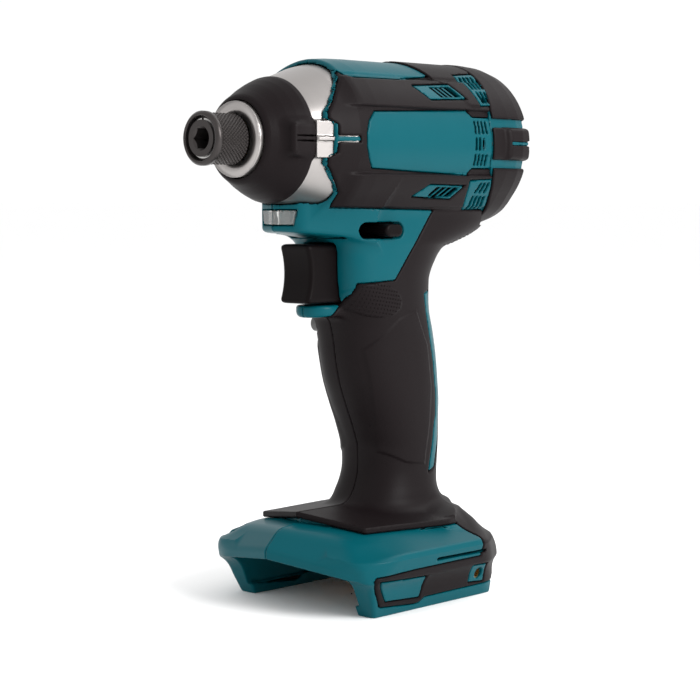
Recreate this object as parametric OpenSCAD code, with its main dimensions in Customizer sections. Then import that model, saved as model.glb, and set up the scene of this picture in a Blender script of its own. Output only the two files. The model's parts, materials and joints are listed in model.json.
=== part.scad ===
// Cordless impact driver with a slide-on battery foot, without its battery.
// X points to the bit, Y to the tool's left and Z up. The origin lies under the middle of the tool.

/* [Barrel] */
// Length of the rear cover
cover_l = 24.5; // [22:0.5:27]
// Length of the housing barrel, from the rear cover to the front lip
barrel_l = 77.5; // [75:0.5:84]
// Length of the hammer case ahead of the front lip
nose_l = 20.5; // [19:0.5:23]
// Length of the bit sleeve ahead of the hammer case
sleeve_l = 14.5; // [13.5:0.5:17]
// Radius of the barrel
barrel_r = 28; // [27:0.5:31]
// Wall of the moulded housing
wall = 2.6; // [2.2:0.1:3]
// Thickness of the soft overmould
skin_t = 1.2; // [0.8:0.1:1.6]

/* [Grip] */
// Height of the grip, from the foot to the barrel
grip_h = 104; // [98:1:112]
// Depth of the grip from front to back
grip_d = 42; // [40:0.5:45]
// Width of the grip
grip_w = 33; // [31:0.5:36]
// Height of the trigger
trigger_h = 20; // [18:0.5:22]
// Width of the trigger
trigger_w = 14; // [13:0.5:16]
// Travel of the trigger
trigger_travel = 6.5; // [5:0.5:7]
// Height of the reversing lever
lever_t = 4.4; // [3.5:0.1:5]

/* [Foot] */
// Reach of the foot ahead of the origin
foot_front = 41; // [39:0.5:44]
// Reach of the foot behind the origin
foot_rear = 46; // [44:0.5:50]
// Width of the foot
foot_w = 76; // [73:0.5:80]
// Height of the foot, up to the grip
foot_h = 27; // [25:0.5:30]
// Height of the battery opening
bay_h = 14; // [12.5:0.5:15]
// Width between the battery legs
bay_w = 53; // [50:0.5:55]
// Thread radius of the belt hook nuts (M4 core)
hook_r = 1.65; // [1.2:0.05:2.1]

/* [Drive] */
// Width across the flats of the bit socket
bit_flats = 6.35; // [6:0.05:7]
// Depth of the bit socket
socket_l = 25; // [20:0.5:25.5]
// Radius of the anvil where the sleeve slides
anvil_r = 5.8; // [5.4:0.1:6.2]
// Radius of the anvil in its bush
journal_r = 7; // [6.6:0.1:7.4]
// Length of the anvil bush
bush_l = 12; // [11:0.5:13]
// Length of the hammer
hammer_l = 15.2; // [14:0.2:16]
// Room round the hammer, inside the radius of the ring gear
hammer_room = 3.3; // [3:0.1:4.2]
// Backward travel of the hammer
hammer_travel = 6.5; // [5.5:0.25:7]
// Wall of the hammer case round the ring gear
case_t = 2.8; // [2.4:0.1:3.2]
// Face width of the gears
gear_w = 6; // [5:0.25:6.5]
// Room between the end windings and each end of the motor can
end_room = 0.75; // [0.5:0.05:2]
// Air gap between the armature stack and the magnets
air_gap = 1.3; // [0.8:0.1:2]

/* [Hidden] */

$fn = 40;
over = 1;
seat_gap = 0.3;
run_gap = 0.05;
bond_gap = 0.05;
part_gap = 0.05;
teal = "#0d8a94";
black = "#2a2623";
steel = "#8f9194";
dark_steel = "#3b3b3d";
copper = "#b0703a";
brass = "#c9a24a";

// Stations along the barrel and heights
overall_l = cover_l + barrel_l + nose_l + sleeve_l;
rear_x = -overall_l / 2;
seam_x = rear_x + cover_l;
lip_x = seam_x + barrel_l;
boss_x = lip_x + nose_l;
tip_x = boss_x + sleeve_l;
grip_top = foot_h + grip_h;
barrel_sink = 4;
axis_z = grip_top + barrel_r - barrel_sink;
far = overall_l;

// Housing lip over the hammer case, set back at the top and notched on the side
lip_drop = 3.1;
lip_set = 12;
lip_bend = 11;
lip_notch_share = 0.15;
lip_shares = [[1.2, 1], [0.98, 1], [0.82, 0.9], [0.3, 0], [0.21, 0], [0.18, lip_notch_share],
    [-0.15, lip_notch_share],
    [-0.19, 0], [-0.3, 0], [-0.6, 0.58], [-0.72, 0.6]];

// Chin with the work light
chin_reach = 3.5;
chin_x = lip_x + chin_reach;
chin_w = 17;
chin_v = 3.5;
chin_h = 10;
chin_back_w = 33;
chin_sink = 0.3;
lens_w = 14.6;
lens_h = 4.6;
lens_t = 2.6;
lens_x = chin_x - chin_v - lens_t;
board_t = 1.6;

// Grip sections as shares: height of grip_h, front and rear of grip_d, width of grip_w, and roundness
grip_sides = 20;
slice = 0.01;
grip_shares = [[0.015, 0.24, -1.045, 1.39, 2.5], [0.029, 0.225, -1.04, 1.26, 2.5],
    [0.044, 0.2, -1.035, 1.14, 2.5], [0.058, 0.112, -1.005, 1.06, 2.5], [0.077, 0.036, -0.935, 0.99, 2.5],
    [0.106, -0.03, -0.88, 0.935, 2.5], [0.15, -0.07, -0.865, 0.905, 2.5], [0.22, -0.075, -0.865, 0.93, 2.5],
    [0.3, -0.02, -0.87, 0.95, 2.5], [0.375, 0.065, -0.88, 0.975, 2.5], [0.45, 0.148, -0.87, 0.99, 2.5],
    [0.53, 0.21, -0.85, 0.995, 2.5], [0.61, 0.267, -0.81, 1, 2.5], [0.68, 0.333, -0.745, 1.03, 2.8],
    [0.74, 0.348, -0.73, 1.06, 3.2], [0.8, 0.352, -0.79, 1.09, 3.5], [0.865, 0.357, -0.92, 1.11, 3.5],
    [0.93, 0.362, -1.05, 1.12, 3.5], [1.02, 0.362, -1.2, 1.12, 3.5]];

// Foot sections as shares of foot_front or foot_rear, of half foot_w and of foot_h
low_share = 0.95;
foot_low_shares = [[1, 0], [0.86, 0.74], [0.6, low_share], [-0.56, low_share], [-0.87, 0.76], [-0.98, 0.43],
    [-0.98, 0]];
foot_fold_shares = [[1, 0, 0.785], [0.84, 0.79, 0.71], [0.54, 1, 0.77], [-0.56, 1, 0.77], [-0.87, 0.8, 0.77],
    [-1, 0.45, 0.77], [-1, 0, 0.77]];
foot_roof_shares = [[0.84, 0], [0.62, 0.53], [0.42, 0.61], [-0.5, 0.66], [-0.7, 0.6], [-0.8, 0.4],
    [-0.8, 0]];
roof_ridge_share = 1.03;
roof_fall_share = 0.14;
room_row = 4;
room_low_shares = [[0.78, 0], [0.66, 0.66], [0.4, 0.85], [-0.56, 0.85], [-0.8, 0.7], [-0.92, 0.4]];
lip_plate_shares = [[0.63, 0], [0.44, 0.6], [-0.44, 0.74], [-0.72, 0.72], [-0.93, 0.55], [-0.95, 0]];
leg_top_shares = [0.7, -0.9];
leg_low_shares = [0.555, -0.735];
rim_h = 6;
plate_t = 2.2;
plate_rise = 2.6;
plate_fall_share = 0.143;
neck_h = 5;
leg_low_w = 64;
ledge_w = 2.5;
ledge_h = 3.6;
bay_end = 40;
roof_t = 2.6;
arch_x = 32.5;
arch_h = 3.8;
band_shares = [[0.65, 0.85], [0.235, 0.89], [-0.52, 0.89], [-0.53, 1.26], [-0.44, 1.59], [-0.44, 2], [-2, 2],
    [-2, 0.25], [-0.02, 0.22], [0.07, 0.12], [0.5, 0.2], [0.53, 0.24], [0.655, 0.78]];

// Black overmould outline on the side of the tool
panel_shares = [[0.823, 0.03], [0.805, 0.214], [0.764, 0.332], [0.173, 0.39], [0.139, 0.314], [-0.1, 0.314],
    [-0.1, -0.3], [0.142, -0.307], [0.17, -0.39], [0.778, -0.321], [0.805, -0.2]];
side_share = 0.4;
side_end_share = 0.8;
side_drop = 1.2;
ridge_top_share = 0.8;
ridge_low_share = -0.76;
upper_vent_shares = [[0.475, 0.664], [0.235, 0.707], [0.163, 0.532], [0.397, 0.5]];
lower_vent_shares = [[0.4, -0.504], [0.168, -0.514], [0.23, -0.679], [0.485, -0.65]];
rear_vent_shares = [[0.13, 0.79], [0.01, 0.86], [0.01, 0.45], [0.07, 0.5]];
strap_shares = [[0.36, 1.1], [0.3, 0.79], [-0.1, 0.79], [-0.1, 1.1]];
teal_shares = [[0.3, 0.998], [-0.49, 0.998], [-0.06, 0.787], [0.267, 0.78], [0.314, 0.706], [0.393, 0.675],
    [0.571, 0.663], [1.2, 0.663]];
strip_shares = [[-0.476, 0.737], [-0.583, 0.581], [-0.643, 0.433], [-0.6, 0.221], [-0.557, 0.14],
    [-0.605, 0.154], [-0.695, 0.346], [-0.705, 0.433], [-0.643, 0.583], [-0.531, 0.742]];
slot_w = 1.5;
slot_count = 4;
slot_end_share = 0.22;
rear_slot_end_share = 0.16;

// Switch, trigger and reversing lever
lever_drop = 5.4;
lever_z = grip_top - lever_drop;
lever_pivot_x = 14;
lever_knob_l = 8;
lever_reach = 20.6;
lever_slot_l = 20;
lever_slot_x = 3.6;
lever_pin_r = 2.4;
lever_room = 2;
lever_arm_w = 7;
trigger_top = lever_z - lever_t / 2 - lever_room;
trigger_x = 27;
trigger_hollow = 1.7;
trigger_round = 3;
trigger_flange_x = 9;
flange_t = 1.6;
flange_lip = 1.4;
stem_r = 2.2;
stem_l = 12;
switch_x = 1.4;
switch_l = 17.5;
switch_w = 18;
switch_h = 24;
pocket_r = 4.8;
pocket_l = 7.4;
trigger_wire_r = 0.4;
trigger_coil_r = 3.7;
trigger_turns = 7;

// Collar under the trigger
collar_x = 24.5;
collar_w = 14;
collar_h = 4.4;
collar_gap = 0.8;
collar_top = trigger_top - trigger_h - seat_gap - collar_gap;
collar_shares = [[1, 1, 0.2], [0.88, 1, 1], [0.45, 1.1, 1.35]];

// Screws along Y, with wells from the right side
screw_r = 1.45;
screw_head_r = 2.8;
screw_head_h = 2.4;
screw_seat = 9;
screw_reach = 8.5;
well_r = 3.3;
boss_wall = 1.5;
recess_r = 1.1;
screw_shares = [[0.62, 0.966], [-0.57, 0.933], [0.13, 0.64], [-0.62, 0.413], [-0.665, 0.183]];
foot_screw_shares = [[0.61, 0.78], [-0.78, 0.78]];
screw_spots = concat([for (p = screw_shares) [p.x * grip_d, foot_h + p.y * grip_h]],
    [for (p = foot_screw_shares) [p.x * (p.x > 0 ? foot_front : foot_rear), p.y * foot_h]]);
cover_screw_r = 1.25;
cover_screw_head_r = 2.4;
cover_screw_head_h = 2;
cover_screw_l = 20;
cover_thread_share = 0.75;
cover_boss_r = 2.1;
cover_boss_l = 9;
cover_boss_y = barrel_r - wall + seat_gap;

// Drive train stations from the nose backwards
case_wall_x = boss_x - bush_l;
washer_t = 0.8;
side_gap = 0.1;
arm_t = 5.6;
arm_w = 9;
arm_x = case_wall_x - washer_t - 2 * side_gap - arm_t;
hammer_x = arm_x - seat_gap;
lug_h = 5.2;
lug_w = 8;
carrier_front_x = hammer_x - hammer_l - hammer_travel - seat_gap * 2;
flange_w = 2.4;
gear_side = 0.4;
gear_x = carrier_front_x - flange_w - gear_side - gear_w;
carrier_rear_x = gear_x - gear_side - flange_w;
ring_x = gear_x - 2 * gear_side;
ring_l = gear_w + 4 * gear_side;
plate_x = ring_x - side_gap;
bearing_l = 4;
hub_l = bearing_l;
plate_l = 11.5;
plate_wall = 3.6;
fan_l = 6.4;
fan_hub_r = 7;
fan_blades = 13;
fan_blade_t = 1;
blade_share = 0.8;
fan_room = 0.8;
fan_x = plate_x - plate_l - fan_room - fan_l;
can_end = 1.5;
can_front_x = fan_x - can_end;
can_room = 2.2;
can_r = barrel_r - wall - can_room;
can_t = 1.8;
magnet_t = 3.6;
can_overhang = 1;
can_rear_x = seam_x - can_overhang;
winding_l = 3.2;
core_x = can_rear_x + winding_l + end_room;
core_l = can_front_x - winding_l - end_room - core_x;
core_r = can_r - can_t - magnet_t - air_gap;
winding_shares = [0.9, 0.45];
slot_floor_share = 0.62;
core_slot = 1.6;
bar_gap = 0.4;
bar_floor_share = 0.85;
rear_shaft_r = 2.5;
commutator_share = 0.576;
commutator_r = core_r * commutator_share;
commutator_l = 10;
cover_wall = 2.6;
rear_bearing_r = 6.5;
rear_floor = 1.2;
rear_bearing_x = rear_x + cover_wall + rear_floor;
commutator_set = 3;
commutator_x = rear_bearing_x + bearing_l + commutator_set;
brush_w = 5;
brush_h = 8;
brush_l = 7;
brush_box_wall = 1;
brush_mid_x = commutator_x + commutator_l / 2;
brush_plate_t = 2;
brush_plate_room = 1;
brush_plate_r = can_r - brush_plate_room;
brush_spring_l = 3.4;
brush_wire_r = 0.25;

// Gears: sun, planets and ring
sun_teeth = 12;
planet_teeth = 18;
ring_teeth = 48;
pressure = 25;
tooth_share = 0.85;
root_share = 1.2;
tooth_slack = 0.12;
flank_steps = 4;
planet_count = 3;
case_room = 1;
case_r = barrel_r - wall - case_room;
ring_wall = 2.4;
ring_r = case_r - case_t - seat_gap;
gear_m = (ring_r - ring_wall) / (ring_teeth / 2 + root_share);
centre_r = gear_m * (sun_teeth + planet_teeth) / 2;
shaft_share = 4;
shaft_r = gear_m * shaft_share;
pin_r = 2;
web_share = 4;
web_r = gear_m * web_share;
carrier_rim = 0.6;
carrier_r = centre_r + web_r + carrier_rim;
sun_room = 0.5;
sun_tip_r = gear_m * (sun_teeth / 2 + tooth_share);
hub_t = 2.5;
hub_r = sun_tip_r + sun_room + hub_t;
spindle_bearing_t = 4.3;
spindle_bearing_r = hub_r + spindle_bearing_t;
front_bearing_t = 5.5;
front_bearing_r = shaft_r + front_bearing_t;
race_share = 0.28;

// Hammer case
room_r = barrel_r - wall - skin_t / 2;
case_in_r = ring_r + seat_gap;
fan_air = 3.3;
fan_r = room_r - fan_air;
hammer_r = ring_r - hammer_room;
lug_in_share = 0.533;
lug_in_r = hammer_r * lug_in_share;
lug_out_share = 0.856;
lug_out_r = hammer_r * lug_out_share;
arm_r = lug_out_r - seat_gap;
case_in_front_r = lug_out_r + seat_gap;
case_land = 1.5;
case_step_x = lip_x - lip_set - case_land;
lip_wall = 2.2;
case_cone_r = barrel_r - lip_wall;
nose_wall = 4.6;
case_nose_r = case_in_front_r + nose_wall;
chin_top = axis_z - case_nose_r + chin_sink;
bumper_set = 4.1;
bumper_x = lip_x + bumper_set;
bumper_lip = 1.6;
bumper_seat_r = case_nose_r - bumper_lip;
boss_l = 4;
bumper_front_x = boss_x - boss_l;
boss_r = 11.7;
boss_step = 1.2;
bumper_front_t = 1.1;
bumper_front_r = boss_r + boss_step + bumper_front_t;
bumper_rise = 0.6;
bumper_r = case_nose_r + bumper_rise;
bumper_waist_shares = [0.94, 0.45];
bumper_neck_share = 0.9;
pad_slope_share = 0.98;
pad_w = 9;
pad_l = 6;
pad_t = 1;
pad_count = 2;
rib_t = 1.4;
rib_h = 0.8;
rib_x = lip_x - lip_set * lip_notch_share + seat_gap;

// Impact parts
cam_share = 0.417;
cam_r = hammer_r * cam_share;
cam_ball_r = 2.4;
cam_ball_sink = 0.6;
cam_angle = 40;
cam_steps = 9;
cam_ball_share = 0.62;
cam_ball_x = hammer_x - hammer_l * cam_ball_share;
cam_ball_room = 0.25;
spring_in_share = 0.606;
spring_in_r = hammer_r * spring_in_share;
spring_out_share = 0.883;
spring_out_r = hammer_r * spring_out_share;
recess_l = 10.6;
thrust_r = 1.1;
thrust_count = 20;
thrust_track_r = (spring_in_r + spring_out_r) / 2;
seat_t = 1.4;
seat_room = 0.3;
seat_x = hammer_x - hammer_l + recess_l - thrust_r - side_gap - seat_t;
spring_wire_r = 1.15;
spring_turns = 3;
pilot_r = 3.5;
pilot_l = 4.5;

// Bit sleeve and its lock
sleeve_r = 8;
sleeve_rim_r = 8.35;
sleeve_rim_l = 2.2;
sleeve_chamfer = 0.6;
sleeve_back_gap = 0.3;
sleeve_x = boss_x + sleeve_back_gap;
chamber_r = 7.1;
land_set = 3;
land_x = sleeve_x + land_set;
land_l = 3;
land_gap = 0.08;
ball_r = 1.6;
ball_x = land_x + land_l / 2;
ball_y = anvil_r - ball_r - run_gap;
lock_washer_t = 0.8;
lock_washer_room = 0.15;
lock_washer_r = chamber_r - lock_washer_room;
ring_t = 0.7;
ring_wire = 0.5;
tip_set = 0.5;
anvil_end = 0.9;
lock_x = tip_x - tip_set - ring_t - lock_washer_t - anvil_end;
lock_wire_r = 0.3;
lock_coil_r = lock_washer_r - lock_wire_r;
lock_turns = 2;
socket_chamfer = 0.7;

// Battery contacts and hook nuts
block_x = -32;
block_l = 34;
block_w = 30;
block_h = 8;
block_drop = 6;
block_slots = 4;
blade_t = 1;
blade_h = 7;
blade_l = 20;
blade_y = 9;
nut_r = 2.8;
nut_l = 6.5;
nut_x = -27;
nut_z = 8.4;
nut_face = 33;
lead_r = 0.7;
lead_y = 4;
lead_x = -13;
lead_back_x = -31;
lead_drop = 15;
lead_out_z = grip_top - lead_drop;
lead_mid_r = (can_r + room_r) / 2;
lead_low_z = axis_z - sqrt(lead_mid_r * lead_mid_r - lead_y * lead_y);

// General helpers
function mirrored(points) = concat(points, [for (i = [len(points) - 1:-1:0]) [points[i].x,
    -points[i].y]]);
function polar(r, a) = [r * cos(a), r * sin(a)];
function rounded(a, b, roundness) = [for (i = [0:grip_sides - 1])
    let (t = 360 * i / grip_sides, c = cos(t), s = sin(t), e = 2 / roundness)
    [a * sign(c) * pow(abs(c), e), b * sign(s) * pow(abs(s), e)]];

// Loft through half rings that start and end on the middle plane
module mirrored_loft(halves) {
    n = len(halves[0]);
    m = 2 * n - 2;
    last = (len(halves) - 1) * m;
    points = [for (half = halves)
        each concat(half, [for (i = [n - 2:-1:1]) [half[i].x, -half[i].y, half[i].z]])];
    skin = [for (i = [0:len(halves) - 2]) for (k = [0:m - 1])
        let (p = i * m + k, q = i * m + (k + 1) % m)
        each [[p, q + m, q], [p, p + m, q + m]]];
    left = [for (k = [0:n - 1]) k];
    right = concat([for (k = [n - 1:m - 1]) k], [0]);
    polyhedron(points, concat(skin, [left, right],
        [[for (k = [n - 1:-1:0]) last + left[k]]], [[for (k = [n - 1:-1:0]) last + right[k]]]));
}

module along_x(x) {
    translate([x, 0, axis_z]) rotate([90, 0, 90]) children();
}

module turned(points) {
    along_x(0) rotate_extrude() polygon(points);
}

module rod(x0, x1, r) {
    along_x(x0) cylinder(h = x1 - x0, r = r);
}

module tube(x0, x1, r_out, r_in) {
    along_x(0) rotate_extrude() translate([r_in, x0]) square([r_out - r_in, x1 - x0]);
}

module side_prism(points) {
    rotate([90, 0, 0]) linear_extrude(height = 2 * far, center = true) polygon(points);
}

module left_half() {
    translate([-far, part_gap, -far]) cube([2 * far, far, 3 * far]);
}

module box(size) {
    translate([-size.x / 2, -size.y / 2, 0]) cube(size);
}

// One unbroken wire wound along X
module coil(x0, x1, r, wire, turns) {
    rings = 8 * turns;
    sides = 6;
    first = x0 + wire;
    rise = (x1 - x0 - 2 * wire) / rings;
    points = [for (i = [0:rings]) for (k = [0:sides - 1])
        let (a = 360 * i / 8, t = 360 * k / sides, q = r + wire * cos(t))
        [first + rise * i + wire * sin(t), q * cos(a), q * sin(a)]];
    skin = [for (i = [0:rings - 1]) for (k = [0:sides - 1])
        let (p = i * sides + k, q = i * sides + (k + 1) % sides)
        each [[p, p + sides, q + sides], [p, q + sides, q]]];
    first_cap = [for (k = [1:sides - 2]) [0, k, k + 1]];
    last = rings * sides;
    last_cap = [for (k = [1:sides - 2]) [last, last + k + 1, last + k]];
    translate([0, 0, axis_z]) polyhedron(points, concat(skin, first_cap, last_cap));
}

// Gear outline with involute flanks; a negative slack widens it for an internal gear
function involute(a) = tan(a) - a * PI / 180;
function half_tooth(r, teeth, slack) =
    let (pitch = gear_m * teeth / 2, base = pitch * cos(pressure))
    90 / teeth + (involute(pressure) - involute(acos(base / r)) - slack / 2 / pitch) * 180 / PI;
function gear_outline(teeth, root, tip, slack) =
    let (base = gear_m * teeth / 2 * cos(pressure), low = max(root, base + slice),
        radii = [for (k = [0:flank_steps]) low + (tip - low) * k / flank_steps])
    [for (i = [0:teeth - 1]) let (c = 360 * i / teeth) each concat(
        root < low ? [polar(root, c - half_tooth(low, teeth, slack))] : [],
        [for (r = radii) polar(r, c - half_tooth(r, teeth, slack))],
        [for (k = [flank_steps:-1:0]) polar(radii[k], c + half_tooth(radii[k], teeth, slack))],
        root < low ? [polar(root, c + half_tooth(low, teeth, slack))] : [])];
function outer_gear(teeth) = let (p = gear_m * teeth / 2)
    gear_outline(teeth, p - root_share * gear_m, p + tooth_share * gear_m, tooth_slack);

// Outer form of the tool, drawn in by inset
module barrel_turn(r) {
    turned([[0, seam_x], [r, seam_x], [r, lip_x - 2 * lip_bend], [r - lip_drop / 5, lip_x - lip_bend],
        [r - lip_drop, lip_x], [0, lip_x]]);
}

// Barrel with a lower panel on each side, ahead of the cover's screws
module barrel_form(inset) {
    start = seam_x + cover_boss_l + boss_wall - inset;
    half = side_share * barrel_r + inset;
    difference() {
        barrel_turn(barrel_r - inset);
        difference() {
            translate([start, -far, axis_z - half])
                cube([seam_x + side_end_share * barrel_l + inset - start, 2 * far, 2 * half]);
            barrel_turn(barrel_r - side_drop - inset);
        }
    }
}

module grip_form(inset) {
    n = grip_sides;
    m = len(grip_shares);
    points = [for (g = grip_shares)
        let (front = g[1] * grip_d - inset, rear = g[2] * grip_d + inset)
        each [for (p = rounded((front - rear) / 2, g[3] * grip_w / 2 - inset, g[4]))
            [p.x + (front + rear) / 2, p.y, foot_h + g[0] * grip_h]]];
    skin = [for (i = [0:m - 2]) for (k = [0:n - 1])
        let (p = i * n + k, q = i * n + (k + 1) % n)
        each [[p, q + n, q], [p, p + n, q + n]]];
    polyhedron(points, concat(skin, [[for (k = [0:n - 1]) k]],
        [[for (k = [n - 1:-1:0]) (m - 1) * n + k]]));
}

module foot_slab(shares, z, t, inset) {
    points = [for (p = shares) [p.x * (p.x > 0 ? foot_front : foot_rear), p.y * foot_w / 2]];
    translate([0, 0, z]) linear_extrude(height = t) offset(delta = -inset) polygon(mirrored(points));
}

function foot_place(p, inset) =
    [p.x * ((p.x > 0 ? foot_front : foot_rear) - inset), p.y * (foot_w / 2 - inset)];
function foot_ring(shares, inset, z) =
    [for (p = shares) let (q = foot_place(p, inset)) [q.x, q.y, z]];
function fold_ring(inset) =
    [for (p = foot_fold_shares) let (q = foot_place(p, inset)) [q.x, q.y, p.z * foot_h]];
function roof_ring(inset) = [for (p = foot_roof_shares) let (q = foot_place(p, inset))
    [q.x, q.y, (roof_ridge_share - roof_fall_share * p.y) * foot_h]];

// Slab with the outline of the foot's plate and its fall to both sides
module lip_slab(inset, low, top) {
    drop = plate_fall_share * far;
    intersection() {
        translate([0, 0, bay_h]) linear_extrude(height = 2 * foot_h)
            polygon(mirrored([for (p = lip_plate_shares) foot_place(p, inset)]));
        rotate([90, 0, 90]) linear_extrude(height = 2 * far, center = true)
            polygon([[0, top], [far, top - drop], [far, low - drop], [0, low], [-far, low - drop],
                [-far, top - drop]]);
    }
}

module foot_form(inset) {
    plate_z = foot_h + plate_rise;
    neck = inset + plate_t;
    mirrored_loft([foot_ring(foot_low_shares, inset, bay_h), fold_ring(inset), roof_ring(inset)]);
    lip_slab(inset, plate_z - (inset > 0 ? skin_t : 0), plate_z + plate_t - inset);
    lip_slab(neck, plate_z - neck_h, plate_z - inset + seat_gap);
    for (s = [-1, 1])
        hull() {
            leg_slab(s, leg_top_shares, foot_w * low_share, bay_h, inset);
            leg_slab(s, leg_low_shares, leg_low_w, 0, inset);
        }
}

module leg_slab(side, shares, width, z, inset) {
    x0 = shares[1] * foot_rear + inset;
    x1 = shares[0] * foot_front - inset;
    y0 = bay_w / 2 - ledge_w;
    translate([x0, side > 0 ? y0 : inset - width / 2, z]) cube([x1 - x0, width / 2 - inset - y0,
        plate_t]);
}

module chin_form(inset) {
    hull() {
        translate([chin_x - inset, 0, chin_top - chin_h]) box([slice, wall, chin_h]);
        translate([chin_x - chin_v - inset, 0, chin_top - chin_h]) box([slice, chin_w - 2 * inset, chin_h]);
        translate([trigger_flange_x, 0, grip_top - chin_h])
            box([slice, chin_back_w - 2 * inset, chin_h + barrel_sink]);
    }
}

module collar_form(inset) {
    hull()
        for (row = collar_shares)
            translate([row.x * collar_x - inset, 0, collar_top - collar_h * row.y + inset])
                box([slice, collar_w * row.z - 2 * inset, collar_h * row.y - 2 * inset]);
}

module outer_form(inset) {
    barrel_form(inset);
    grip_form(inset);
    chin_form(inset);
    collar_form(inset);
    foot_form(inset);
}

function barrel_points(shares) =
    [for (p = shares) [seam_x + p.x * barrel_l, axis_z + p.y * barrel_r]];
function grip_points(shares) =
    [for (p = shares) [p.x * grip_d, foot_h + p.y * grip_h]];
function foot_points(shares) =
    [for (p = shares) [p.x > 0 ? p.x * foot_front : p.x * foot_rear, p.y * (bay_h + rim_h / 2)]];
function flipped(points) = [for (p = points) [p.x, 2 * axis_z - p.y]];

// Space above the underside of the foot's sloping plate
module plate_space() {
    ridge = foot_h + plate_rise - bond_gap;
    edge = ridge - plate_fall_share * far;
    rotate([90, 0, 90]) linear_extrude(height = 2 * far, center = true)
        polygon([[0, ridge], [far, edge], [far, 2 * far], [-far, 2 * far], [-far, edge]]);
}

// Side areas that the overmould covers
module black_areas() {
    side_prism(concat([[seam_x - over, axis_z + ridge_top_share * barrel_r],
        [lip_x - wall / 2, axis_z + ridge_top_share * barrel_r],
        [lip_x - wall / 2, axis_z + ridge_low_share * barrel_r],
        [seam_x - over, axis_z + ridge_low_share * barrel_r]]));
    side_prism(barrel_points(strap_shares));
    intersection() {
        side_prism(concat(grip_points(teal_shares),
            [[far, bay_h], [-far, bay_h], [-far, axis_z], [seam_x, axis_z]]));
        plate_space();
    }
    side_prism(foot_points(band_shares));
}

module clear_windows() {
    side_prism(barrel_points(panel_shares));
    side_prism(barrel_points(upper_vent_shares));
    side_prism(barrel_points(lower_vent_shares));
    side_prism(barrel_points(rear_vent_shares));
    side_prism(flipped(barrel_points(rear_vent_shares)));
    side_prism(grip_points(strip_shares));
}

module mouth_cut(gap) {
    side_prism(concat([for (p = lip_shares) [lip_x - p.y * lip_set - gap, axis_z + p.x * barrel_r]],
        [[far, chin_top], [far, axis_z + 2 * barrel_r]]));
}

module vent_row(shares, tilt) {
    a = barrel_points(shares);
    for (i = [0:slot_count - 1]) {
        t = (i + 0.5) / slot_count;
        top = a[0] + (a[1] - a[0]) * t;
        low = a[3] + (a[2] - a[3]) * t;
        trim = (low - top) * tilt;
        hull()
            for (p = [top + trim, low - trim])
                translate([p.x, 0, p.y]) rotate([90, 0, 0])
                    cylinder(h = far, r = slot_w / 2, center = true, $fn = 8);
    }
}

// Space inside the housing for the drive, switch and contacts
module housing_room() {
    turned([[0, seam_x - over], [room_r, seam_x - over],
        [room_r, plate_x - plate_l], [case_r + seat_gap, plate_x - plate_l],
        [case_r + seat_gap, case_step_x - seat_gap], [case_cone_r + seat_gap, case_step_x - seat_gap],
        [case_cone_r + seat_gap, case_step_x + case_land], [case_nose_r + seat_gap, bumper_x],
        [case_nose_r + seat_gap, far], [0, far]]);
    intersection() {
        grip_form(skin_t + wall);
        translate([-far, -far, bay_h + roof_t]) cube([2 * far, 2 * far, far]);
    }
    hull() {
        foot_slab(room_low_shares, bay_h + roof_t, slice, wall + skin_t);
        foot_slab(lip_plate_shares, foot_h - wall, slice, wall + plate_t + skin_t);
    }
    translate([0, 0, foot_h - wall - over])
        linear_extrude(height = grip_shares[room_row][0] * grip_h + wall + 2 * over)
            translate([grip_d * (grip_shares[room_row][1] + grip_shares[room_row][2]) / 2, 0])
                polygon(rounded(grip_d / 3, grip_w / 2 - wall, grip_shares[0][4]));
}

module trigger_room() {
    translate([0, 0, trigger_top - trigger_h / 2]) {
        translate([switch_x, 0, -trigger_h / 2 - flange_lip - seat_gap])
            translate([0, -trigger_w / 2 - flange_lip - seat_gap, 0])
                cube([trigger_flange_x + flange_t + seat_gap - switch_x,
                    trigger_w + 2 * (flange_lip + seat_gap),
                    trigger_h + 2 * (flange_lip + seat_gap)]);
        translate([trigger_flange_x, -trigger_w / 2 - seat_gap, -trigger_h / 2 - seat_gap])
            cube([far, trigger_w + 2 * seat_gap, trigger_h + 2 * seat_gap]);
    }
}

module lever_room_cut() {
    translate([0, 0, lever_z - lever_t / 2 - seat_gap]) {
        hull()
            for (x = [-1, 1])
                translate([lever_slot_x + x * (lever_slot_l - lever_t) / 2, 0, lever_t / 2 + seat_gap])
                    rotate([90, 0, 0]) cylinder(h = far, r = lever_t / 2 + seat_gap, center = true,
                        $fn = 16);
        translate([lever_slot_x - lever_slot_l / 2, -grip_w / 2 + wall, 0])
            cube([lever_slot_l - lever_t, grip_w - 2 * wall, lever_t + 2 * seat_gap]);
        translate([lever_slot_x, -lever_arm_w, 0])
            cube([lever_slot_l / 2 + lever_arm_w, 2 * lever_arm_w, lever_t + 2 * seat_gap]);
    }
}

module bay_cut() {
    translate([-bay_end, -bay_w / 2, ledge_h]) cube([far, bay_w, bay_h - ledge_h]);
    translate([-bay_end, ledge_w - bay_w / 2, -over]) cube([far, bay_w - 2 * ledge_w, bay_h + over]);
    translate([block_x - seat_gap, -block_w / 2 - seat_gap, bay_h - over])
        cube([block_l + 2 * seat_gap, block_w + 2 * seat_gap, block_h + over + seat_gap]);
    translate([arch_x, 0, bay_h]) rotate([90, 0, 90]) linear_extrude(height = far)
        polygon([[-bay_w / 2, -over], [-bay_w / 2, 0], [0, arch_h], [bay_w / 2, 0], [bay_w / 2, -over]]);
}

module screw_bosses(r) {
    for (p = screw_spots)
        translate([p.x, 0, p.y]) rotate([90, 0, 0]) cylinder(h = foot_w, r = r, center = true, $fn = 16);
}

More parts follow.
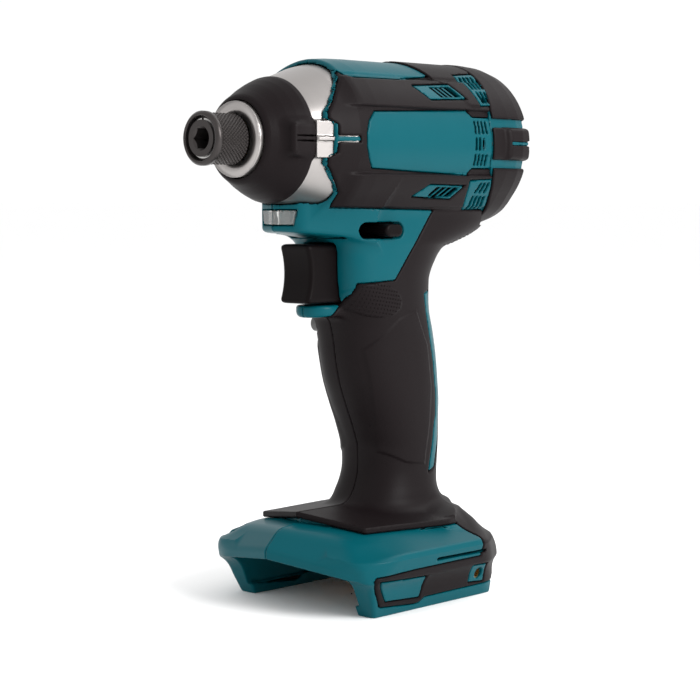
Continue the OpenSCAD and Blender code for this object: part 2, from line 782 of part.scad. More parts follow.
module screw_cuts() {
    for (p = screw_spots)
        translate([p.x, 0, p.y]) rotate([90, 0, 0]) {
            translate([0, 0, -screw_reach - seat_gap])
                cylinder(h = screw_reach + screw_seat + over, r = screw_r + run_gap, $fn = 16);
            translate([0, 0, screw_seat]) cylinder(h = far, r = well_r, $fn = 16);
        }
}

module cover_bosses(r, x0, length) {
    for (s = [-1, 1])
        translate([x0, s * cover_boss_y, axis_z]) rotate([0, 90, 0]) cylinder(h = length, r = r,
            $fn = 16);
}

// Ring ribs that hold the motor can, open at the bottom for the leads
module can_ribs() {
    difference() {
        for (x = [can_rear_x + winding_l * 2, can_front_x - winding_l * 2])
            tube(x, x + wall, barrel_r - wall, can_r + seat_gap);
        translate([-far, -lead_y - 2 * lead_r, axis_z - 2 * barrel_r])
            cube([2 * far, 2 * (lead_y + 2 * lead_r), 2 * barrel_r]);
    }
}

module housing_shell() {
    difference() {
        union() {
            difference() {
                outer_form(0);
                difference() {
                    black_areas();
                    clear_windows();
                    outer_form(skin_t);
                }
                housing_room();
                mouth_cut(0);
                rod(rear_x - over, seam_x, barrel_r + part_gap);
            }
            intersection() {
                outer_form(skin_t);
                union() {
                    difference() {
                        screw_bosses(well_r + boss_wall);
                        turned([[0, -far], [can_r + seat_gap, -far], [can_r + seat_gap, lip_x], [0,
                            lip_x]]);
                        turned([[0, plate_x - plate_l], [case_cone_r + seat_gap, plate_x - plate_l],
                            [case_cone_r + seat_gap, lip_x - lip_set], [case_nose_r + seat_gap, bumper_x],
                            [case_nose_r + seat_gap, far], [0, far]]);
                    }
                    can_ribs();
                    intersection() {
                        cover_bosses(cover_boss_r, seam_x, cover_boss_l);
                        turned([[can_r + seat_gap, -far], [barrel_r, -far], [barrel_r, far],
                            [can_r + seat_gap, far]]);
                    }
                    translate([lever_pivot_x, 0, lever_z])
                        cylinder(h = axis_z - case_r - seat_gap - lever_z, r = lever_pin_r - run_gap);
                }
            }
        }
        trigger_room();
        lever_room_cut();
        bay_cut();
        screw_cuts();
        cover_bosses(cover_screw_r + run_gap, seam_x - over, cover_boss_l + 2 * over);
        vent_row(upper_vent_shares, slot_end_share);
        vent_row(lower_vent_shares, slot_end_share);
        vent_row(rear_vent_shares, rear_slot_end_share);
        vent_row([for (p = rear_vent_shares) [p.x, -p.y]], rear_slot_end_share);
        lens_space(seat_gap / 3);
        nut_holes();
    }
}

module nut_holes() {
    for (s = [-1, 1])
        translate([nut_x, s * nut_face, nut_z]) rotate([s * 90, 0, 0])
            translate([0, 0, -foot_w / 2]) cylinder(h = foot_w / 2 + nut_l, r = nut_r + run_gap,
                $fn = 20);
}

module lens_space(gap) {
    low = chin_top - chin_h / 2 - lens_h / 2;
    translate([lens_x - gap, -lens_w / 2 - gap, low - gap])
        cube([lens_t + chin_v + board_t + gap, lens_w + 2 * gap, lens_h + 2 * gap]);
    translate([lens_x - 2 * board_t - 2 * gap, -lens_w / 2, low]) cube([lens_t + board_t, lens_w, lens_h]);
}

module housing_half(side) {
    color(teal)
        intersection() {
            housing_shell();
            mirror([0, side > 0 ? 0 : 1, 0]) left_half();
        }
}

module housing_left() {
    housing_half(1);
}

module housing_right() {
    housing_half(-1);
}

module overmould_half(side) {
    color(black)
        intersection() {
            difference() {
                outer_form(0);
                outer_form(skin_t - bond_gap);
                clear_windows();
                mouth_cut(wall / 2);
                rod(rear_x - over, seam_x, barrel_r + part_gap);
                translate([-bay_end - wall, -bay_w / 2 - wall, -over])
                    cube([far, bay_w + 2 * wall, bay_h + wall + over]);
                lever_room_cut();
                trigger_room();
                screw_cuts();
                nut_holes();
            }
            black_areas();
            mirror([0, side > 0 ? 0 : 1, 0]) left_half();
        }
}

module overmould_left() {
    overmould_half(1);
}

module overmould_right() {
    overmould_half(-1);
}

// Rear cover: a cup over the brush gear, with its bearing seat, and the black bumper on it
cover_bend_shares = [[0, 1], [0.24, 1], [0.47, 0.985], [0.67, 0.92], [0.835, 0.815], [0.94, 0.69],
    [1, 0.53]];
cover_lug = 1.2;
cover_lug_set = 3;
band_z = 6.9;
band_t = 2.6;
band_low_z = -6.3;

module cover_form(inset) {
    turned(concat([[0, seam_x]], [for (p = cover_bend_shares)
        [p.y * barrel_r - inset, seam_x - p.x * (cover_l - inset)]], [[0, rear_x + inset]]));
}

module rear_cover() {
    color(teal)
        difference() {
            union() {
                difference() {
                    cover_form(skin_t);
                    intersection() {
                        rod(rear_x + cover_wall + skin_t, seam_x + over, room_r - cover_wall);
                        cover_form(skin_t + cover_wall);
                    }
                    rod(commutator_x, seam_x + over, room_r);
                }
                rod(rear_x + cover_wall, rear_bearing_x + bearing_l, rear_bearing_r + wall);
                intersection() {
                    cover_form(skin_t);
                    cover_bosses(cover_boss_r, rear_x, cover_l - side_gap);
                }
            }
            rod(rear_bearing_x, seam_x, rear_bearing_r + run_gap);
            rod(seam_x - side_gap, far, barrel_r);
            cover_bosses(cover_screw_r + run_gap, rear_x - over, cover_l + 2 * over);
            cover_bosses(cover_screw_head_r + run_gap, rear_x - over, cover_l - cover_screw_l / 2 + over);
        }
}

module rear_bumper() {
    color(black)
        difference() {
            union() {
                cover_form(0);
                intersection() {
                    cover_form(-cover_lug);
                    translate([rear_x + cover_lug_set, -far, axis_z + band_low_z])
                        cube([cover_l - 2 * cover_lug_set, 2 * far, band_z - band_low_z]);
                }
            }
            cover_form(skin_t - bond_gap);
            rod(seam_x - side_gap, far, barrel_r + over);
            for (z = [band_z, band_low_z])
                translate([-far, -far, axis_z + z - band_t / 2]) cube([2 * far, 2 * far, band_t]);
            cover_bosses(cover_screw_head_r + run_gap, rear_x - over, cover_l);
        }
}

// Hammer case: a cast cone with a bush seat, a side rib and a seat for the bumper
module hammer_case() {
    color("#c9ccd0")
        difference() {
            union() {
                turned([[0, plate_x], [case_r, plate_x], [case_r, case_step_x], [case_cone_r,
                    case_step_x],
                    [case_cone_r, case_step_x + case_land], [case_nose_r, bumper_x], [bumper_seat_r,
                        bumper_x],
                    [boss_r + boss_step, bumper_front_x], [boss_r + boss_step, boss_x - 2 * boss_step],
                    [boss_r, boss_x - boss_step], [boss_r, boss_x], [0, boss_x]]);
                for (s = [0, 180])
                    translate([0, 0, axis_z]) rotate([s, 0, 0]) intersection() {
                        translate([rib_x, 0, -rib_t / 2]) cube([bumper_x - rib_x, far, rib_t]);
                        translate([0, 0, -axis_z]) turned([[0, lip_x - lip_set],
                            [case_cone_r - seat_gap, lip_x - lip_set], [case_nose_r + rib_h, bumper_x],
                                [0, bumper_x]]);
                    }
            }
            turned([[0, plate_x - over], [case_in_r, plate_x - over], [case_in_r, hammer_x - hammer_l],
                [hammer_r + 2 * seat_gap, hammer_x + seat_gap], [case_in_front_r,
                    hammer_x + 2 * seat_gap],
                [case_in_front_r, case_wall_x], [0, case_wall_x]]);
            rod(case_wall_x - over, boss_x + over, journal_r + wall + run_gap);
        }
}

// Rubber ring on the nose, with raised pads round its widest part
module case_bumper() {
    length = bumper_front_x - bumper_x;
    color(black)
        difference() {
            union() {
                turned([[0, bumper_x], [bumper_r - pad_t, bumper_x], [bumper_r - pad_t,
                    bumper_x + pad_l / 3],
                    [bumper_r * bumper_waist_shares[0] - pad_t,
                        bumper_x + length * bumper_waist_shares[1]],
                    [bumper_front_r + pad_t, bumper_x + length * bumper_neck_share],
                    [bumper_front_r, bumper_front_x], [0, bumper_front_x]]);
                intersection() {
                    for (i = [0:pad_count - 1])
                        along_x(bumper_x) rotate(360 * i / pad_count) translate([0, -pad_w / 2, 0])
                            cube([far, pad_w, pad_l]);
                    turned([[0, bumper_x], [bumper_r, bumper_x], [bumper_r * pad_slope_share,
                        bumper_x + pad_l], [0, bumper_x + pad_l]]);
                }
            }
            turned([[0, bumper_x - over], [bumper_seat_r + run_gap, bumper_x - over],
                [bumper_seat_r + run_gap, bumper_x],
                [boss_r + boss_step + run_gap, bumper_front_x], [boss_r + boss_step + run_gap, far],
                    [0, far]]);
        }
}

module led_lens() {
    color("#dfe9e8")
        intersection() {
            chin_form(0);
            translate([lens_x, -lens_w / 2, chin_top - chin_h / 2 - lens_h / 2])
                cube([lens_t + chin_v + over, lens_w, lens_h]);
        }
}

module led_board() {
    color("#e8d9a0")
        translate([lens_x - board_t - seat_gap / 3, -lens_w / 2 + wall / 2,
            chin_top - chin_h / 2 - lens_h / 2]) {
            translate([0, 0, seat_gap]) cube([board_t / 2, lens_w - wall, lens_h - 3 * seat_gap]);
            translate([board_t / 2, lens_w / 2 - wall / 2 - board_t, lens_h / 2 - board_t])
                cube([board_t / 2, 2 * board_t, 2 * board_t]);
        }
}

// Trigger: a hollow-fronted key on a flange and a stem
module trigger() {
    half = trigger_h / 2;
    steps = 10;
    front = [for (i = [0:steps]) let (t = 2 * i / steps - 1)
        [trigger_x - trigger_hollow * (1 - t * t), t * half]];
    plan_round = [for (i = [0:steps]) let (t = 90 * i / steps)
        [trigger_x - trigger_round + trigger_round * cos(t),
            trigger_w / 2 - trigger_round + trigger_round * sin(t)]];
    color(black)
        translate([0, 0, trigger_top - half]) {
            intersection() {
                rotate([90, 0, 0]) linear_extrude(height = trigger_w, center = true)
                    polygon(concat([[trigger_flange_x, half], [trigger_flange_x, -half]], front));
                linear_extrude(height = trigger_h, center = true)
                    polygon(concat(plan_round, [[trigger_flange_x, trigger_w / 2], [trigger_flange_x,
                        -trigger_w / 2]],
                        [for (i = [steps:-1:0]) [plan_round[i].x, -plan_round[i].y]]));
            }
            translate([trigger_flange_x - over / 5, -trigger_w / 2 - flange_lip, -half - flange_lip])
                cube([flange_t, trigger_w + 2 * flange_lip, trigger_h + 2 * flange_lip]);
            rotate([0, -90, 0]) translate([0, 0, -trigger_flange_x]) cylinder(h = stem_l + over,
                r = stem_r);
        }
}

module trigger_spring() {
    color(steel)
        translate([0, 0, trigger_top - trigger_h / 2 - axis_z])
            coil(switch_x - pocket_l + side_gap, trigger_flange_x - over / 5 - side_gap, trigger_coil_r,
                trigger_wire_r, trigger_turns);
}

// Reversing lever: a bar with a knob on each side, turning on a pin
module reversing_lever() {
    color(dark_steel)
        translate([0, 0, lever_z - lever_t / 2])
            difference() {
                union() {
                    hull()
                        for (s = [-1, 1])
                            translate([s * (lever_knob_l - lever_t) / 2, 0, lever_t / 2]) rotate([90, 0, 0])
                                cylinder(h = 2 * lever_reach, r = lever_t / 2, center = true, $fn = 16);
                    translate([0, -lever_arm_w / 2, 0]) cube([lever_pivot_x, lever_arm_w, lever_t]);
                    translate([lever_pivot_x, 0, 0]) cylinder(h = lever_t, r = lever_arm_w / 2);
                }
                translate([lever_pivot_x, 0, -over]) cylinder(h = lever_t + 2 * over, r = lever_pin_r);
            }
}

module switch_body() {
    color(dark_steel)
        difference() {
            union() {
                translate([switch_x - switch_l, -switch_w / 2, trigger_top - switch_h])
                    cube([switch_l, switch_w, switch_h]);
                translate([switch_x - switch_l / 2, -switch_w / 4, trigger_top - over])
                    cube([switch_l / 2, switch_w / 2, lever_room + over - side_gap]);
            }
            translate([switch_x + over, 0, trigger_top - trigger_h / 2]) rotate([0, -90, 0]) {
                cylinder(h = pocket_l + over, r = pocket_r);
                cylinder(h = switch_l - wall, r = stem_r + seat_gap);
            }
        }
}

// Yellow contact block that hangs through the foot's roof, with slots for the battery's contacts
module terminal_block() {
    pitch = block_w / (block_slots + 1);
    color("#e0b040")
        difference() {
            union() {
                translate([block_x, -block_w / 2, bay_h]) cube([block_l, block_w, block_h]);
                translate([block_x, -block_w / 2, bay_h - block_drop]) cube([block_l / 6, block_w,
                    block_drop + over]);
            }
            for (s = [-1, 1])
                translate([block_x + block_l / 5, s * blade_y - blade_t / 2, bay_h - over])
                    cube([blade_l + seat_gap, blade_t, blade_h / 2 + over]);
            for (i = [1:block_slots])
                translate([block_x - over, i * pitch - block_w / 2 - blade_t / 2,
                    bay_h - block_drop - over])
                    cube([block_l / 8, blade_t, block_drop]);
        }
}

module terminal_blades() {
    color(copper)
        for (s = [-1, 1])
            translate([block_x + block_l / 5 + seat_gap / 2, s * blade_y - blade_t / 2 + run_gap,
                bay_h - blade_h / 2])
                cube([blade_l, blade_t - 2 * run_gap, blade_h - run_gap]);
}

module hook_nuts() {
    color(brass)
        for (s = [-1, 1])
            translate([nut_x, s * nut_face, nut_z]) rotate([s * 90, 0, 0])
                difference() {
                    cylinder(h = nut_l, r = nut_r);
                    translate([0, 0, -over]) cylinder(h = nut_l + 2 * over, r = hook_r);
                }
}

// Leads from the contacts to the switch and from the switch to the brushes
module lead(points) {
    for (i = [0:len(points) - 2]) {
        run = points[i + 1] - points[i];
        turn = [0, acos(run.z / norm(run)), atan2(run.y, run.x)];
        translate(points[i]) rotate(turn) cylinder(h = norm(run), r = lead_r);
        if (i > 0) translate(points[i]) sphere(r = lead_r);
    }
}

module lead_wires() {
    color("#7a2020")
        for (s = [-1, 1]) {
            lead([[lead_x, s * lead_y, bay_h + block_h + side_gap],
                [lead_x, s * lead_y, trigger_top - switch_h - side_gap]]);
            lead([[switch_x - switch_l - side_gap, s * lead_y, lead_out_z], [lead_back_x, s * lead_y,
                lead_out_z],
                [lead_back_x, s * lead_y, lead_low_z], [can_rear_x - lead_r - side_gap, s * lead_y,
                    lead_low_z],
                [can_rear_x - lead_r - side_gap, s * lead_y, axis_z - brush_plate_r + fan_room]]);
        }
}

module housing_screws() {
    color(steel)
        for (p = screw_spots)
            translate([p.x, 0, p.y]) rotate([90, 0, 0])
                difference() {
                    union() {
                        translate([0, 0, -screw_reach]) cylinder(h = screw_reach + screw_seat + over,
                            r = screw_r);
                        translate([0, 0, screw_seat + run_gap]) cylinder(h = screw_head_h,
                            r = screw_head_r);
                    }
                    translate([0, 0, screw_seat + screw_head_h / 2]) cylinder(h = far, r = recess_r,
                        $fn = 6);
                }
}

module cover_screws() {
    seat = seam_x - cover_screw_l / 2;
    color(steel)
        for (s = [-1, 1])
            translate([seat, s * cover_boss_y, axis_z]) rotate([0, 90, 0])
                difference() {
                    union() {
                        translate([0, 0,
                            -cover_screw_head_h]) cylinder(h = cover_screw_head_h - run_gap,
                            r = cover_screw_head_r);
                        translate([0, 0,
                            -over]) cylinder(h = cover_screw_l * cover_thread_share + over,
                            r = cover_screw_r);
                    }
                    translate([0, 0, -far - cover_screw_head_h / 2]) cylinder(h = far, r = recess_r,
                        $fn = 6);
                }
}

// Motor
module motor_can() {
    color(dark_steel) tube(can_rear_x, can_front_x, can_r, can_r - can_t);
}

module magnets() {
    out_r = can_r - can_t - run_gap;
    color("#55504c")
        difference() {
            tube(core_x, core_x + core_l, out_r, out_r - magnet_t);
            for (a = [0, 90])
                along_x(core_x - over) rotate(a + 45) translate([-far, -magnet_t, 0])
                    cube([2 * far, 2 * magnet_t, core_l + 2 * over]);
        }
}

module brush_plate() {
    inner = commutator_r + 2 * seat_gap;
    box_l = brush_l + brush_spring_l + brush_box_wall;
    color(black)
        difference() {
            union() {
                tube(can_rear_x - brush_plate_t - side_gap, can_rear_x - side_gap, brush_plate_r, inner);
                for (a = [0, 180])
                    along_x(brush_mid_x - brush_w / 2 - brush_box_wall) rotate(a + 90)
                        translate([inner + seat_gap, -brush_h / 2 - brush_box_wall, 0])
                            cube([box_l, brush_h + 2 * brush_box_wall,
                                can_rear_x - brush_mid_x + brush_w / 2]);
            }
            for (a = [0, 180])
                along_x(brush_mid_x - brush_w / 2 - run_gap) rotate(a + 90)
                    translate([0, -brush_h / 2 - run_gap, 0])
                        cube([inner + seat_gap + box_l - brush_box_wall, brush_h + 2 * run_gap,
                            brush_w + 2 * run_gap]);
            for (s = [-1, 1])
                translate([can_rear_x, s * lead_y, axis_z - brush_plate_r]) rotate([0, -90, 0])
                    cylinder(h = brush_plate_t + over, r = 2 * lead_r + seat_gap);
        }
}

module carbon_brushes() {
    color("#1c1c1e")
        for (a = [0, 180])
            along_x(brush_mid_x - brush_w / 2) rotate(a + 90)
                difference() {
                    translate([commutator_r - over, -brush_h / 2, 0]) cube([brush_l + over, brush_h,
                        brush_w]);
                    translate([0, 0, -over]) cylinder(h = brush_w + 2 * over, r = commutator_r + run_gap);
                }
}

module brush_springs() {
    first = commutator_r + brush_l + side_gap;
    color(steel)
        for (a = [-90, 90])
            translate([brush_mid_x, 0, axis_z]) rotate([0, a, 0]) translate([0, 0, -axis_z])
                coil(first, first + brush_spring_l, brush_w / 3, brush_wire_r, 4);
}

// A bearing as two races with balls between them
module bearing(x, r_out, r_in) {
    race = (r_out - r_in) * race_share;
    track = (r_out + r_in) / 2;
    ball = (r_out - r_in) / 2 - race;
    color(steel) {
        tube(x, x + bearing_l, r_out, r_out - race);
        tube(x, x + bearing_l, r_in + race, r_in);
        for (i = [0:7])
            along_x(x + bearing_l / 2) rotate(45 * i) translate([track, 0,
                0]) sphere(r = ball - run_gap / 2);
    }
}

module rear_bearing() {
    bearing(rear_bearing_x, rear_bearing_r, rear_shaft_r + run_gap);
}

module front_bearing() {
    bearing(plate_x - plate_l + seat_gap, front_bearing_r, shaft_r + run_gap);
}

module spindle_bearing() {
    bearing(carrier_rear_x - bearing_l - side_gap, spindle_bearing_r, hub_r + run_gap);
}

// Gear plate: carries both bearings and stops the ring gear
module gear_plate() {
    bearing_x = carrier_rear_x - bearing_l - side_gap;
    front_x = plate_x - plate_l + seat_gap + bearing_l;
    color("#4a4a4c")
        difference() {
            union() {
                rod(plate_x - wall * 2, plate_x - side_gap, case_r);
                rod(plate_x - plate_l, plate_x - wall, spindle_bearing_r + plate_wall);
            }
            rod(bearing_x, plate_x + over, spindle_bearing_r + run_gap);
            rod(plate_x - plate_l - over, front_x, front_bearing_r + run_gap);
            rod(front_x - over, bearing_x + over, sun_tip_r + sun_room);
            rod(carrier_rear_x - seat_gap, plate_x + over, carrier_r + 2 * seat_gap);
        }
}

module ring_gear() {
    pitch = gear_m * ring_teeth / 2;
    color(steel)
        along_x(ring_x) rotate(180 / ring_teeth) linear_extrude(height = ring_l)
            difference() {
                circle(r = ring_r);
                polygon(gear_outline(ring_teeth, pitch - tooth_share * gear_m,
                    pitch + root_share * gear_m, -tooth_slack));
            }
}

// Armature
module armature_shaft() {
    color(steel) {
        rod(rear_bearing_x + run_gap, rear_bearing_x + bearing_l + side_gap, rear_shaft_r);
        rod(rear_bearing_x + bearing_l, gear_x + gear_w, shaft_r);
    }
}

module armature_core() {
    color("#6f7175")
        difference() {
            tube(core_x, core_x + core_l, core_r, shaft_r);
            for (i = [0:11])
                along_x(core_x - over) rotate(30 * i) translate([core_r * slot_floor_share,
                    -core_slot / 2, 0])
                    cube([core_r, core_slot, core_l + 2 * over]);
        }
}

module armature_windings() {
    color(copper)
        for (x = [core_x - winding_l, core_x + core_l])
            tube(x, x + winding_l, core_r * winding_shares[0], core_r * winding_shares[1]);
}

module commutator() {
    color(copper)
        difference() {
            tube(commutator_x, commutator_x + commutator_l, commutator_r, shaft_r);
            for (i = [0:11])
                along_x(commutator_x - over) rotate(30 * i + 15)
                    translate([commutator_r * bar_floor_share, -bar_gap / 2, 0])
                    cube([commutator_r, bar_gap, commutator_l + 2 * over]);
        }
}

module cooling_fan() {
    color("#303030") {
        tube(fan_x, fan_x + fan_l, fan_hub_r, shaft_r);
        tube(fan_x, fan_x + fan_l / 4, fan_r, fan_hub_r - over / 2);
        for (i = [0:fan_blades - 1])
            along_x(fan_x + fan_l / 8) rotate(360 * i / fan_blades) translate([fan_hub_r - over / 2, 0,
                0])
                cube([fan_r - fan_hub_r, fan_blade_t, fan_l * blade_share]);
    }
}

module pinion() {
    color(steel)
        along_x(gear_x) linear_extrude(height = gear_w)
            difference() {
                polygon(outer_gear(sun_teeth));
                circle(r = shaft_r);
            }
}

// Spindle: planet carrier, cam shaft and pilot in one forging
module spindle() {
    color("#7c7f84")
        difference() {
            union() {
                rod(carrier_rear_x - hub_l, carrier_rear_x, hub_r);
                rod(carrier_rear_x, carrier_rear_x + flange_w, carrier_r);
                rod(carrier_front_x - flange_w, carrier_front_x, carrier_r);
                for (i = [0:planet_count - 1])
                    along_x(carrier_rear_x) rotate(360 * (i + 0.5) / planet_count) translate([centre_r,
                        0, 0])
                        cylinder(h = carrier_front_x - carrier_rear_x, r = web_r);
                rod(carrier_front_x - flange_w, hammer_x - seat_gap, cam_r);
                rod(hammer_x - over, hammer_x + pilot_l, pilot_r);
            }
            rod(carrier_rear_x - hub_l - over, gear_x + gear_w + gear_side, sun_tip_r + sun_room);
            for (i = [0:planet_count - 1])
                along_x(carrier_rear_x - over) rotate(360 * i / planet_count) translate([centre_r, 0, 0])
                    cylinder(h = carrier_front_x - carrier_rear_x + 2 * over, r = pin_r);
            for (a = [90, 270])
                along_x(cam_ball_x) rotate(a) translate([cam_r + cam_ball_sink - cam_ball_r / 2, 0, 0])
                    sphere(r = cam_ball_r + run_gap);
        }
}

module planet_pins() {
    color(steel)
        for (i = [0:planet_count - 1])
            along_x(carrier_rear_x + side_gap) rotate(360 * i / planet_count) translate([centre_r, 0, 0])
                cylinder(h = carrier_front_x - carrier_rear_x - 2 * side_gap, r = pin_r - run_gap / 5);
}

module planet_gear(i) {
    angle = 360 * i / planet_count;
    turn = angle + 180 - 180 / planet_teeth + angle * sun_teeth / planet_teeth;
    color(steel)
        along_x(gear_x) rotate(angle) translate([centre_r, 0, 0]) rotate(turn - angle)
            linear_extrude(height = gear_w)
                difference() {
                    polygon(outer_gear(planet_teeth));
                    circle(r = pin_r + run_gap);
                }
}

module planet_gear_1() {
    planet_gear(0);
}

module planet_gear_2() {
    planet_gear(1);
}

module planet_gear_3() {
    planet_gear(2);
}

module cam_balls() {
    color(steel)
        for (a = [90, 270])
            along_x(cam_ball_x) rotate(a) translate([cam_r + cam_ball_sink - cam_ball_r / 2, 0, 0])
                sphere(r = cam_ball_r);
}

module hammer_spring() {
    color(dark_steel)
        coil(carrier_front_x + side_gap, seat_x - side_gap, thrust_track_r, spring_wire_r, spring_turns);
}

module spring_seat() {
    color(steel) tube(seat_x, seat_x + seat_t, spring_out_r - seat_room, spring_in_r + seat_room);
}

module thrust_balls() {
    color(steel)
        for (i = [0:thrust_count - 1])
            along_x(seat_x + seat_t + thrust_r) rotate(360 * i / thrust_count)
                translate([thrust_track_r, 0, 0])
                sphere(r = thrust_r, $fn = 24);
}

// Hammer: a steel block with a spring recess, cam tracks and two driving lugs
module hammer() {
    rear = hammer_x - hammer_l;
    track_r = cam_r + cam_ball_sink + cam_ball_r / 2 + cam_ball_room;
    color("#77797d")
        difference() {
            union() {
                rod(rear, hammer_x, hammer_r);
                for (a = [0, 180])
                    along_x(hammer_x - over) rotate(a) intersection() {
                        difference() {
                            cylinder(h = lug_h + over, r = lug_out_r);
                            translate([0, 0, -over]) cylinder(h = lug_h + 3 * over, r = lug_in_r);
                        }
                        translate([0, -arm_w / 2 - seat_gap - lug_w, -over]) cube([far, lug_w,
                            lug_h + 3 * over]);
                    }
            }
            rod(rear - over, hammer_x + over, cam_r + run_gap);
            tube(rear - over, rear + recess_l, spring_out_r, spring_in_r);
            along_x(rear + recess_l) rotate_extrude() translate([thrust_track_r,
                0]) circle(r = thrust_r + cam_ball_room);
            for (a = [90, 270])
                for (i = [0:cam_steps])
                    along_x(cam_ball_x + hammer_travel * i / cam_steps) rotate(a + cam_angle * i / cam_steps)
                        rotate([0, 90, 0]) cylinder(h = track_r, r = cam_ball_r + cam_ball_room);
        }
}

// Anvil: output shaft with two arms, a hex socket and holes for the detent balls
module anvil() {
    color(dark_steel)
        difference() {
            union() {
                along_x(arm_x) intersection() {
                    translate([-far, -arm_w / 2, 0]) cube([2 * far, arm_w, arm_t]);
                    cylinder(h = arm_t, r = arm_r);
                }
                rod(arm_x, arm_x + arm_t, lug_in_r - 2 * seat_gap);
                rod(arm_x + arm_t - over, boss_x - seat_gap, journal_r);
                rod(boss_x - over, tip_x - tip_set, anvil_r);
            }
            rod(arm_x - over, hammer_x + pilot_l + 2 * seat_gap, pilot_r + run_gap);
            along_x(tip_x - tip_set - socket_l) cylinder(h = socket_l + over, r = bit_flats / sqrt(3),
                $fn = 6);
            turned([[0, tip_x - tip_set - socket_chamfer], [bit_flats / 2,
                tip_x - tip_set - socket_chamfer],
                [bit_flats / 2 + 2 * socket_chamfer, tip_x - tip_set + socket_chamfer], [0,
                    tip_x - tip_set + socket_chamfer]]);
            along_x(ball_x) rotate([0, 90, 0]) cylinder(h = 2 * far, r = ball_r + run_gap, center = true);
            tube(lock_x + lock_washer_t, lock_x + lock_washer_t + ring_t + run_gap, far,
                anvil_r - ring_wire);
        }
}

module anvil_bush() {
    color(brass)
        tube(case_wall_x + side_gap, boss_x - seat_gap, journal_r + wall, journal_r + run_gap);
}

module anvil_washer() {
    color("#e6e2d6")
        tube(case_wall_x - washer_t - side_gap, case_wall_x - side_gap, case_in_front_r - seat_gap,
            journal_r + seat_gap);
}

module detent_balls() {
    color(steel)
        for (s = [-1, 1])
            translate([ball_x, s * ball_y, axis_z]) sphere(r = ball_r);
}

module sleeve_spring() {
    color(steel)
        coil(land_x + land_l + side_gap, lock_x - side_gap, lock_coil_r, lock_wire_r, lock_turns);
}

module sleeve_washer() {
    color(dark_steel) tube(lock_x, lock_x + lock_washer_t - run_gap, lock_washer_r, anvil_r + run_gap);
}

module snap_ring() {
    x0 = lock_x + lock_washer_t + run_gap / 2;
    color(steel)
        difference() {
            tube(x0, x0 + ring_t - run_gap, anvil_r + ring_wire, anvil_r - ring_wire + run_gap);
            translate([x0 - over, -ring_wire, axis_z]) cube([ring_t + 2 * over, 2 * ring_wire, far]);
        }
}

module bit_sleeve() {
    color(dark_steel)
        turned([[chamber_r, sleeve_x], [sleeve_r - sleeve_chamfer, sleeve_x], [sleeve_r,
            sleeve_x + sleeve_chamfer],
            [sleeve_r, tip_x - sleeve_rim_l - sleeve_chamfer], [sleeve_rim_r, tip_x - sleeve_rim_l],
            [sleeve_rim_r, tip_x - sleeve_chamfer], [sleeve_rim_r - sleeve_chamfer, tip_x],
                [chamber_r + lock_washer_room, tip_x],
            [chamber_r, tip_x - sleeve_chamfer], [chamber_r, land_x + land_l], [anvil_r + land_gap,
                land_x + land_l],
            [anvil_r + land_gap, land_x], [chamber_r, land_x]]);
}

housing_left();
housing_right();
overmould_left();
overmould_right();
rear_cover();
rear_bumper();
hammer_case();
case_bumper();
led_lens();
led_board();
trigger();
trigger_spring();
reversing_lever();
switch_body();
terminal_block();
terminal_blades();
hook_nuts();
lead_wires();
housing_screws();
cover_screws();
motor_can();
magnets();
brush_plate();
carbon_brushes();
brush_springs();
rear_bearing();
front_bearing();
spindle_bearing();
gear_plate();
ring_gear();
armature_shaft();
armature_core();
armature_windings();
commutator();
cooling_fan();
pinion();
spindle();
planet_pins();
planet_gear_1();
planet_gear_2();
planet_gear_3();
cam_balls();
hammer_spring();
spring_seat();
thrust_balls();
hammer();
anvil();
anvil_bush();
anvil_washer();
detent_balls();
sleeve_spring();
sleeve_washer();
snap_ring();
bit_sleeve();
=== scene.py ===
import json
import math

import bpy
import numpy as np
from mathutils import Matrix, Vector


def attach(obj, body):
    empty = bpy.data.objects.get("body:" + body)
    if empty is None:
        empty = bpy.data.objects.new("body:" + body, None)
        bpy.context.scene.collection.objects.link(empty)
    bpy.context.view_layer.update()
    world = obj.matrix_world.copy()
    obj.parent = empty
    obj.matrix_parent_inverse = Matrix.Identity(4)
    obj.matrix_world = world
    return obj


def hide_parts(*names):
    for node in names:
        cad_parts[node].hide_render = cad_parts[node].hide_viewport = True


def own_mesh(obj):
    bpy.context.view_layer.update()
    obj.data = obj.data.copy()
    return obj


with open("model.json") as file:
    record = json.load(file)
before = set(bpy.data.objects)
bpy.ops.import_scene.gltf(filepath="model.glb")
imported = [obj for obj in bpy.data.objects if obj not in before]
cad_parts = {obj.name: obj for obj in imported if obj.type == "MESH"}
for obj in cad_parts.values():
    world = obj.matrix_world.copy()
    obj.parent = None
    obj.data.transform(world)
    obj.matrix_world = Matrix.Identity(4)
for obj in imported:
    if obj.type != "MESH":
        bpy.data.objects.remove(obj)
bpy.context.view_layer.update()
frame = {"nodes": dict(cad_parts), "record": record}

axisZ = 155.0  # height of the drive axis; all forms below are in millimetres
print("frame loaded")


# Small form helpers: fields are negative inside

def smoothMax(a, b, k):
    h = np.maximum(k - np.abs(a - b), 0.0) / k
    return np.maximum(a, b) + h * h * k * 0.25


def smoothMin(a, b, k):
    return -smoothMax(-a, -b, k)


def smoothStep(low, high, v):
    t = np.clip((v - low) / (high - low), 0.0, 1.0)
    return t * t * (3.0 - 2.0 * t)


def largest(first, *others):
    for f in others:
        first = np.maximum(first, f)
    return first


def smallest(first, *others):
    for f in others:
        first = np.minimum(first, f)
    return first


